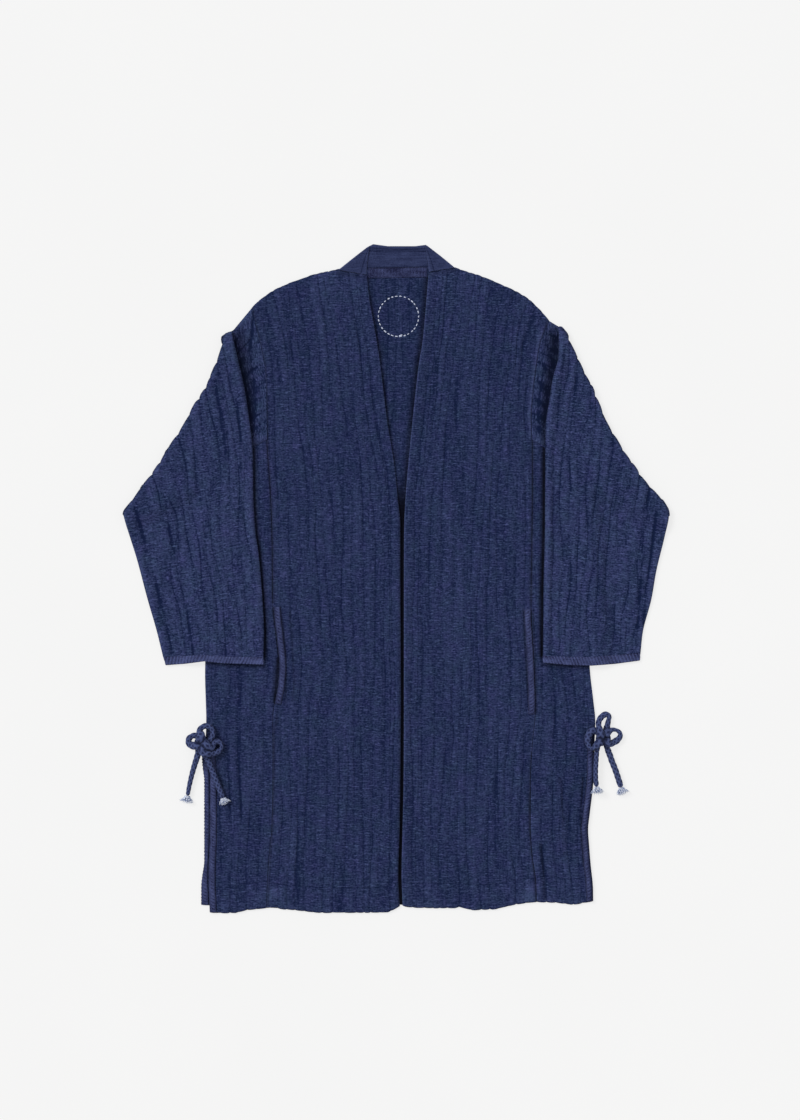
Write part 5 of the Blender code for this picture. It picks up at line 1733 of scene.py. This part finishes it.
for side, (seam, end) in CUFFS.items():
    seam_at, end_at = line_across(seam), line_across(end)
    width = float(np.linalg.norm(seam_at(1.0) - seam_at(0.0)))
    half = CUFF_THICK / 2
    flat_steps = np.linspace(half, width - half, int(width / CUFF_STEP))
    upright, bend = np.full(len(flat_steps), pi / 2), np.linspace(pi / 2, -pi / 2, CUFF_BEND_STEPS)
    far_bend, near_bend = np.full(CUFF_BEND_STEPS, width - half), np.full(CUFF_BEND_STEPS, half)
    spine = np.concatenate([flat_steps, far_bend, flat_steps[::-1], near_bend, flat_steps[:1]])
    angle = np.concatenate([upright, bend, -upright, bend - pi, [-3 * pi / 2]])
    turned = np.abs(np.diff(angle, prepend=angle[0]))
    around = np.cumsum(np.abs(np.diff(spine, prepend=spine[0])) + np.minimum(turned, 0.5) * half)
    profile = np.array(CUFF_PROFILE)
    spine, part = np.meshgrid(spine, profile[:, 0])
    angle, inset = np.meshgrid(angle, profile[:, 1])
    around = np.broadcast_to(around, spine.shape)
    drift = 1.1 * soft_noise(CUFF_SEED[side], around, part, 15, 9)
    rib = np.sin(2 * pi * (around + RIB_SLANT * part * CUFF_SLANT_LENGTH + drift) / RIB_PITCH)
    rib *= 0.85 + 0.3 * soft_noise(9, around, part, 12, 9)
    outside = np.clip(1 - inset / 0.7, 0, 1)
    radius = half - inset + RIB_HEIGHT * rib * outside
    share = np.clip((spine + radius * np.cos(angle)) / width, 0, 1)
    plan = seam_at(share) * (1 - part[..., None]) + end_at(share) * part[..., None]
    plan[..., 1] += CUFF_TUCK * (1 - part) - 0.6 * rib * outside * part
    low = FOREARM_UNDER * drop(plan, side)
    where = np.dstack([plan, low + half + radius * np.sin(angle)])
    cloth_map = np.stack([part * CUFF_LENGTH, around], -1)
    # painted shade: dark lines along the cuff's outer edge and along its seam
    rim = np.maximum(0.55 * bell(part - 1.0, 0.05), 0.40 * bell(part, 0.05))
    values = {"rib": rib, "wear": part * outside, "shade": rim}
    cuff = grid_data(f"cuff_ring_{side}", where, cloth_map, values, seams=True)
    mesh = bmesh.new()
    mesh.from_mesh(cuff)
    bmesh.ops.recalc_face_normals(mesh, faces=mesh.faces)
    mesh.to_mesh(cuff)
    mesh.free()
    cuff.materials.append(cuff_binding[side].material)
    cuff = new_object(f"cuff_ring_{side}", cuff)
    stand_for(cuff, f"cuff_{side}")
    print(cuff.name, where.shape[:2], "points, width", round(width), "mm")

# %% [markdown]
# ## Collar
#
# The collar is a doubled band of the same indigo, but woven plain, so it has no ridges. Behind the neck
# its inside shows, with two rows of stitching and faint ripples where it was turned, and each of its ends
# folds over the shoulder to the front. A purple tape covers the seam inside the neck.

# %% Finish of the plain collar cloth
COLLAR_DARK = (0.0070, 0.0110, 0.0420, 1.0)
COLLAR_LIGHT = (0.0520, 0.0680, 0.1640, 1.0)


def plain_finish(name, tone):
    """Smooth indigo cotton: fine lengthwise streaks, worn pale at the edges and dark in the stitching."""
    finish = Finish(name, roughness=0.92, specular=0.08, sheen=0.03)
    place = finish.node("ShaderNodeUVMap", {"uv_map": "cloth"}, {})
    wear = finish.attribute("wear")
    line = finish.attribute("stitch_line")
    long = finish.noise(place, (40, 420, 1), detail=2.0)
    yarn = finish.noise(place, (460, 520, 3), detail=2.0)
    blot = finish.noise(place, (60, 60, 5), detail=2.0)
    groove = (1.0 - abs(line) / LINE_HALF_WIDTH).above(0.5, 1.0)
    mixed = tone + long * 0.8 + yarn * 1.0 + blot * 0.55 + wear * 0.25 - groove * 0.40
    finish.feed("Base Color", finish.blend(mixed.above(0.5, 1.0), COLLAR_DARK, COLLAR_LIGHT))
    finish.bump(long * 0.5 + yarn * 0.6 - groove * 0.6, distance=0.0007, strength=0.7)
    return finish


collar_inside = plain_finish("collar_inside", tone=0.42)
collar_outside = plain_finish("collar_outside", tone=0.42)
print("collar finishes ready")


# %% Make the collar's pieces and the neck tape
PLAIN_STEP = 1.2
STITCH_DEPTH = 0.35


def make_plain(name, node, sides, ends, size, under, finish, stitches, ripple, worn_edges=1.0, low_seam=0.0):
    """A plain piece of doubled cloth between two side lines and two end lines."""
    wide, tall = size
    across, share = np.meshgrid(rim_steps(wide, PLAIN_STEP), rim_steps(tall, PLAIN_STEP))
    plan = coons(*sides, *ends, across, share)
    from_low = share * tall
    gaps = {"left": across * wide, "right": (1 - across) * wide, "low": from_low, "top": (1 - share) * tall}
    edge = np.minimum.reduce(list(gaps.values()))
    stitch_line = nearest_stitching(gaps, stitches)
    level = under + CLOTH - rim_drop(edge, CLOTH - 0.2)
    level += swells((ripple, 4.5, 60), 5, plan[..., 1], plan[..., 0]) * ramp(edge, 3)
    level -= STITCH_DEPTH * bell(stitch_line, 1.2)
    wear = worn_edges * bell(edge, 1.3) - low_seam * bell(from_low, 1.6)
    where = np.dstack([plan, level])
    piece = add_shell(name, where, plan, {"wear": wear, "stitch_line": stitch_line}, finish, SHELL)
    stand_for(piece, node)
    print(name, where.shape[:2], "points")
    return piece


back_ends = (np.array((-86, 464.0)), np.array((84, 467.4)))
back_collar = make_plain(
    "collar_behind_neck", "collar_back",
    (line_across((back_ends[0], (-42, 498))), line_across((back_ends[1], (44, 500.5)))),
    (line_across(back_ends), line_across(COLLAR_TOP)),
    (128.0, 33.0), 0.0, collar_inside, (("top", 5.0), ("top", 9.0)), ripple=0.35, low_seam=2.2,
)

for side, fold, free in (
    ("right", COLLAR_FOLD_RIGHT, FREE_EDGE_RIGHT),
    ("left", COLLAR_FOLD_LEFT, FREE_EDGE_LEFT),
):
    outer = edge_line(fold, low=min(fold)[0] + GAP)
    inner = edge_line(free, low=min(free)[0] + GAP)
    piece = make_plain(
        f"collar_front_{side}", f"collar_{side}",
        (outer, inner), (line_across((outer(0.0), inner(0.0))), line_across((outer(1.0), inner(1.0)))),
        (24.0, 40.0), FRONT_UNDER, collar_outside, (("right", 5.0),), ripple=0.15, worn_edges=1.3,
    )

TAPE_LENGTH = 88.0
TAPE_WIDTH = 16.0
TAPE_ENDS = ((-42.0, 450.0), (46.0, 451.5))
tape_low = line_across(TAPE_ENDS)
tape_high = line_across([(x, y + TAPE_WIDTH - 2 * GAP) for x, y in TAPE_ENDS])
make_strip(
    "neck_tape_band", "neck_tape", tape_low, tape_high, BACK_TOP + GAP, tape_binding, TAPE_LENGTH,
    columns=14, slant=0.0, crown_rise=0.2, edge_shade=(0.0, 0.75),
)

# %% [markdown]
# ## Stitches
#
# Inside the back, a ring of short pale running stitches holds two layers together. Each stitch is a small
# piece of thread that dips into the cloth at both ends, so it is a little grid rolled up along an arc,
# pressed onto the cloth by a ray that falls from above. All the stitches of the ring are one mesh.

# %% Pale thread
THREAD_PALE = (0.66, 0.70, 0.80, 1.0)
THREAD_GREY = (0.36, 0.42, 0.60, 1.0)

thread = Finish("pale_thread", roughness=0.8, specular=0.15)
thread_place = thread.node("ShaderNodeTexCoord", {}, {}, output="Object")
thread_spots = thread.noise(thread_place, (500, 500, 500), detail=1.0)
thread.feed("Base Color", thread.blend((thread_spots * 1.6 + 0.4).above(0.5, 1.0), THREAD_PALE, THREAD_GREY))
print("thread finish", thread.material.name)


# %% Find the cloth's surface under a point
def surface_of(piece):
    """A function that gives the height of a piece's top at a plan point, in millimetres."""
    tree = BVHTree.FromObject(piece, bpy.context.evaluated_depsgraph_get())

    def height(x, y):
        hit = tree.ray_cast(Vector((x * MM, y * MM, 1.0)), Vector((0.0, 0.0, -1.0)))
        return hit[0].z / MM if hit[0] is not None else 0.0

    return height


back_surface = surface_of(back)
print("inside of the back at the ring:", round(back_surface(3.0, 423.0), 2), "mm")


# %% Sew the ring
RING_MIDDLE = (3.0, 393.0)
RING_RADIUS = 30.3
RING_STITCHES = 30
STITCH_LENGTH = 4.3
STITCH_WIDTH = 0.85
STITCH_SINK = 0.30
STITCH_SIDES = 8
KNOTTED_THREAD = (((3.2, 362.6), (9.4, 365.4)), ((3.6, 364.4), (8.2, 363.2)), ((4.4, 361.6), (7.8, 366.0)))


def stitch_data(points, width, height):
    """One stitch: a flattened thread along points, thin at both ends."""
    turn = np.linspace(0, 2 * pi, STITCH_SIDES + 1)
    part = np.linspace(-1, 1, len(points))
    full = np.sqrt(np.clip(1 - part ** 4, 0.0, 1.0))[:, None, None]
    where = points[:, None] + full * ring_of(*frames_along(points)[1:], turn, width, height)
    return grid_data("stitch", where, where[..., :2], {}, seams=True)


def stitch_points(start, end, surface, bow=0.35, steps=7):
    """Points of a stitch between two plan points, resting on the cloth and sinking in at its ends."""
    share = np.linspace(0, 1, steps)
    plan = np.array(start) + (np.array(end) - np.array(start)) * share[:, None]
    levels = np.array([surface(x, y) for x, y in plan])
    level = np.interp(share, (0, 0.5, 1), (levels[0], levels.max(), levels[-1]))
    rise = bow * np.sin(pi * share) - STITCH_SINK * (1 - np.sin(pi * share))
    return np.column_stack([plan, level + rise])


chance = np.random.default_rng(5)
ring_mesh = bmesh.new()
for index in range(RING_STITCHES):
    angle = 2 * pi * (index + chance.normal(0, 0.07)) / RING_STITCHES
    half = STITCH_LENGTH * (0.5 + chance.normal(0, 0.06)) / RING_RADIUS
    ends = [
        (RING_MIDDLE[0] + RING_RADIUS * cos(a), RING_MIDDLE[1] + RING_RADIUS * sin(a))
        for a in (angle - half, angle + half)
    ]
    width = STITCH_WIDTH * (1 + chance.normal(0, 0.12))
    data = stitch_data(stitch_points(*ends, back_surface), width, 0.5)
    ring_mesh.from_mesh(data)
    bpy.data.meshes.remove(data)
for start, end in KNOTTED_THREAD:
    data = stitch_data(stitch_points(start, end, back_surface, bow=0.6), 0.9, 0.55)
    ring_mesh.from_mesh(data)
    bpy.data.meshes.remove(data)
ring_data = bpy.data.meshes.new("stitched_ring")
ring_mesh.to_mesh(ring_data)
ring_mesh.free()
ring_data.shade_smooth()
ring_data.materials.append(thread.material)
stitched_ring = new_object("stitched_ring", ring_data)
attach(stitched_ring, "root")
print("ring of", RING_STITCHES, "stitches,", len(ring_data.polygons), "faces")

# %% Work out the triangles of every piece of the dressed coat
pieces = [thing for thing in bpy.context.scene.objects if thing.type == "MESH" and thing != floor]
depsgraph = bpy.context.evaluated_depsgraph_get()
for piece in pieces:
    evaluated = piece.evaluated_get(depsgraph)
    mesh = evaluated.to_mesh()
    mesh.calc_loop_triangles()
    evaluated.to_mesh_clear()
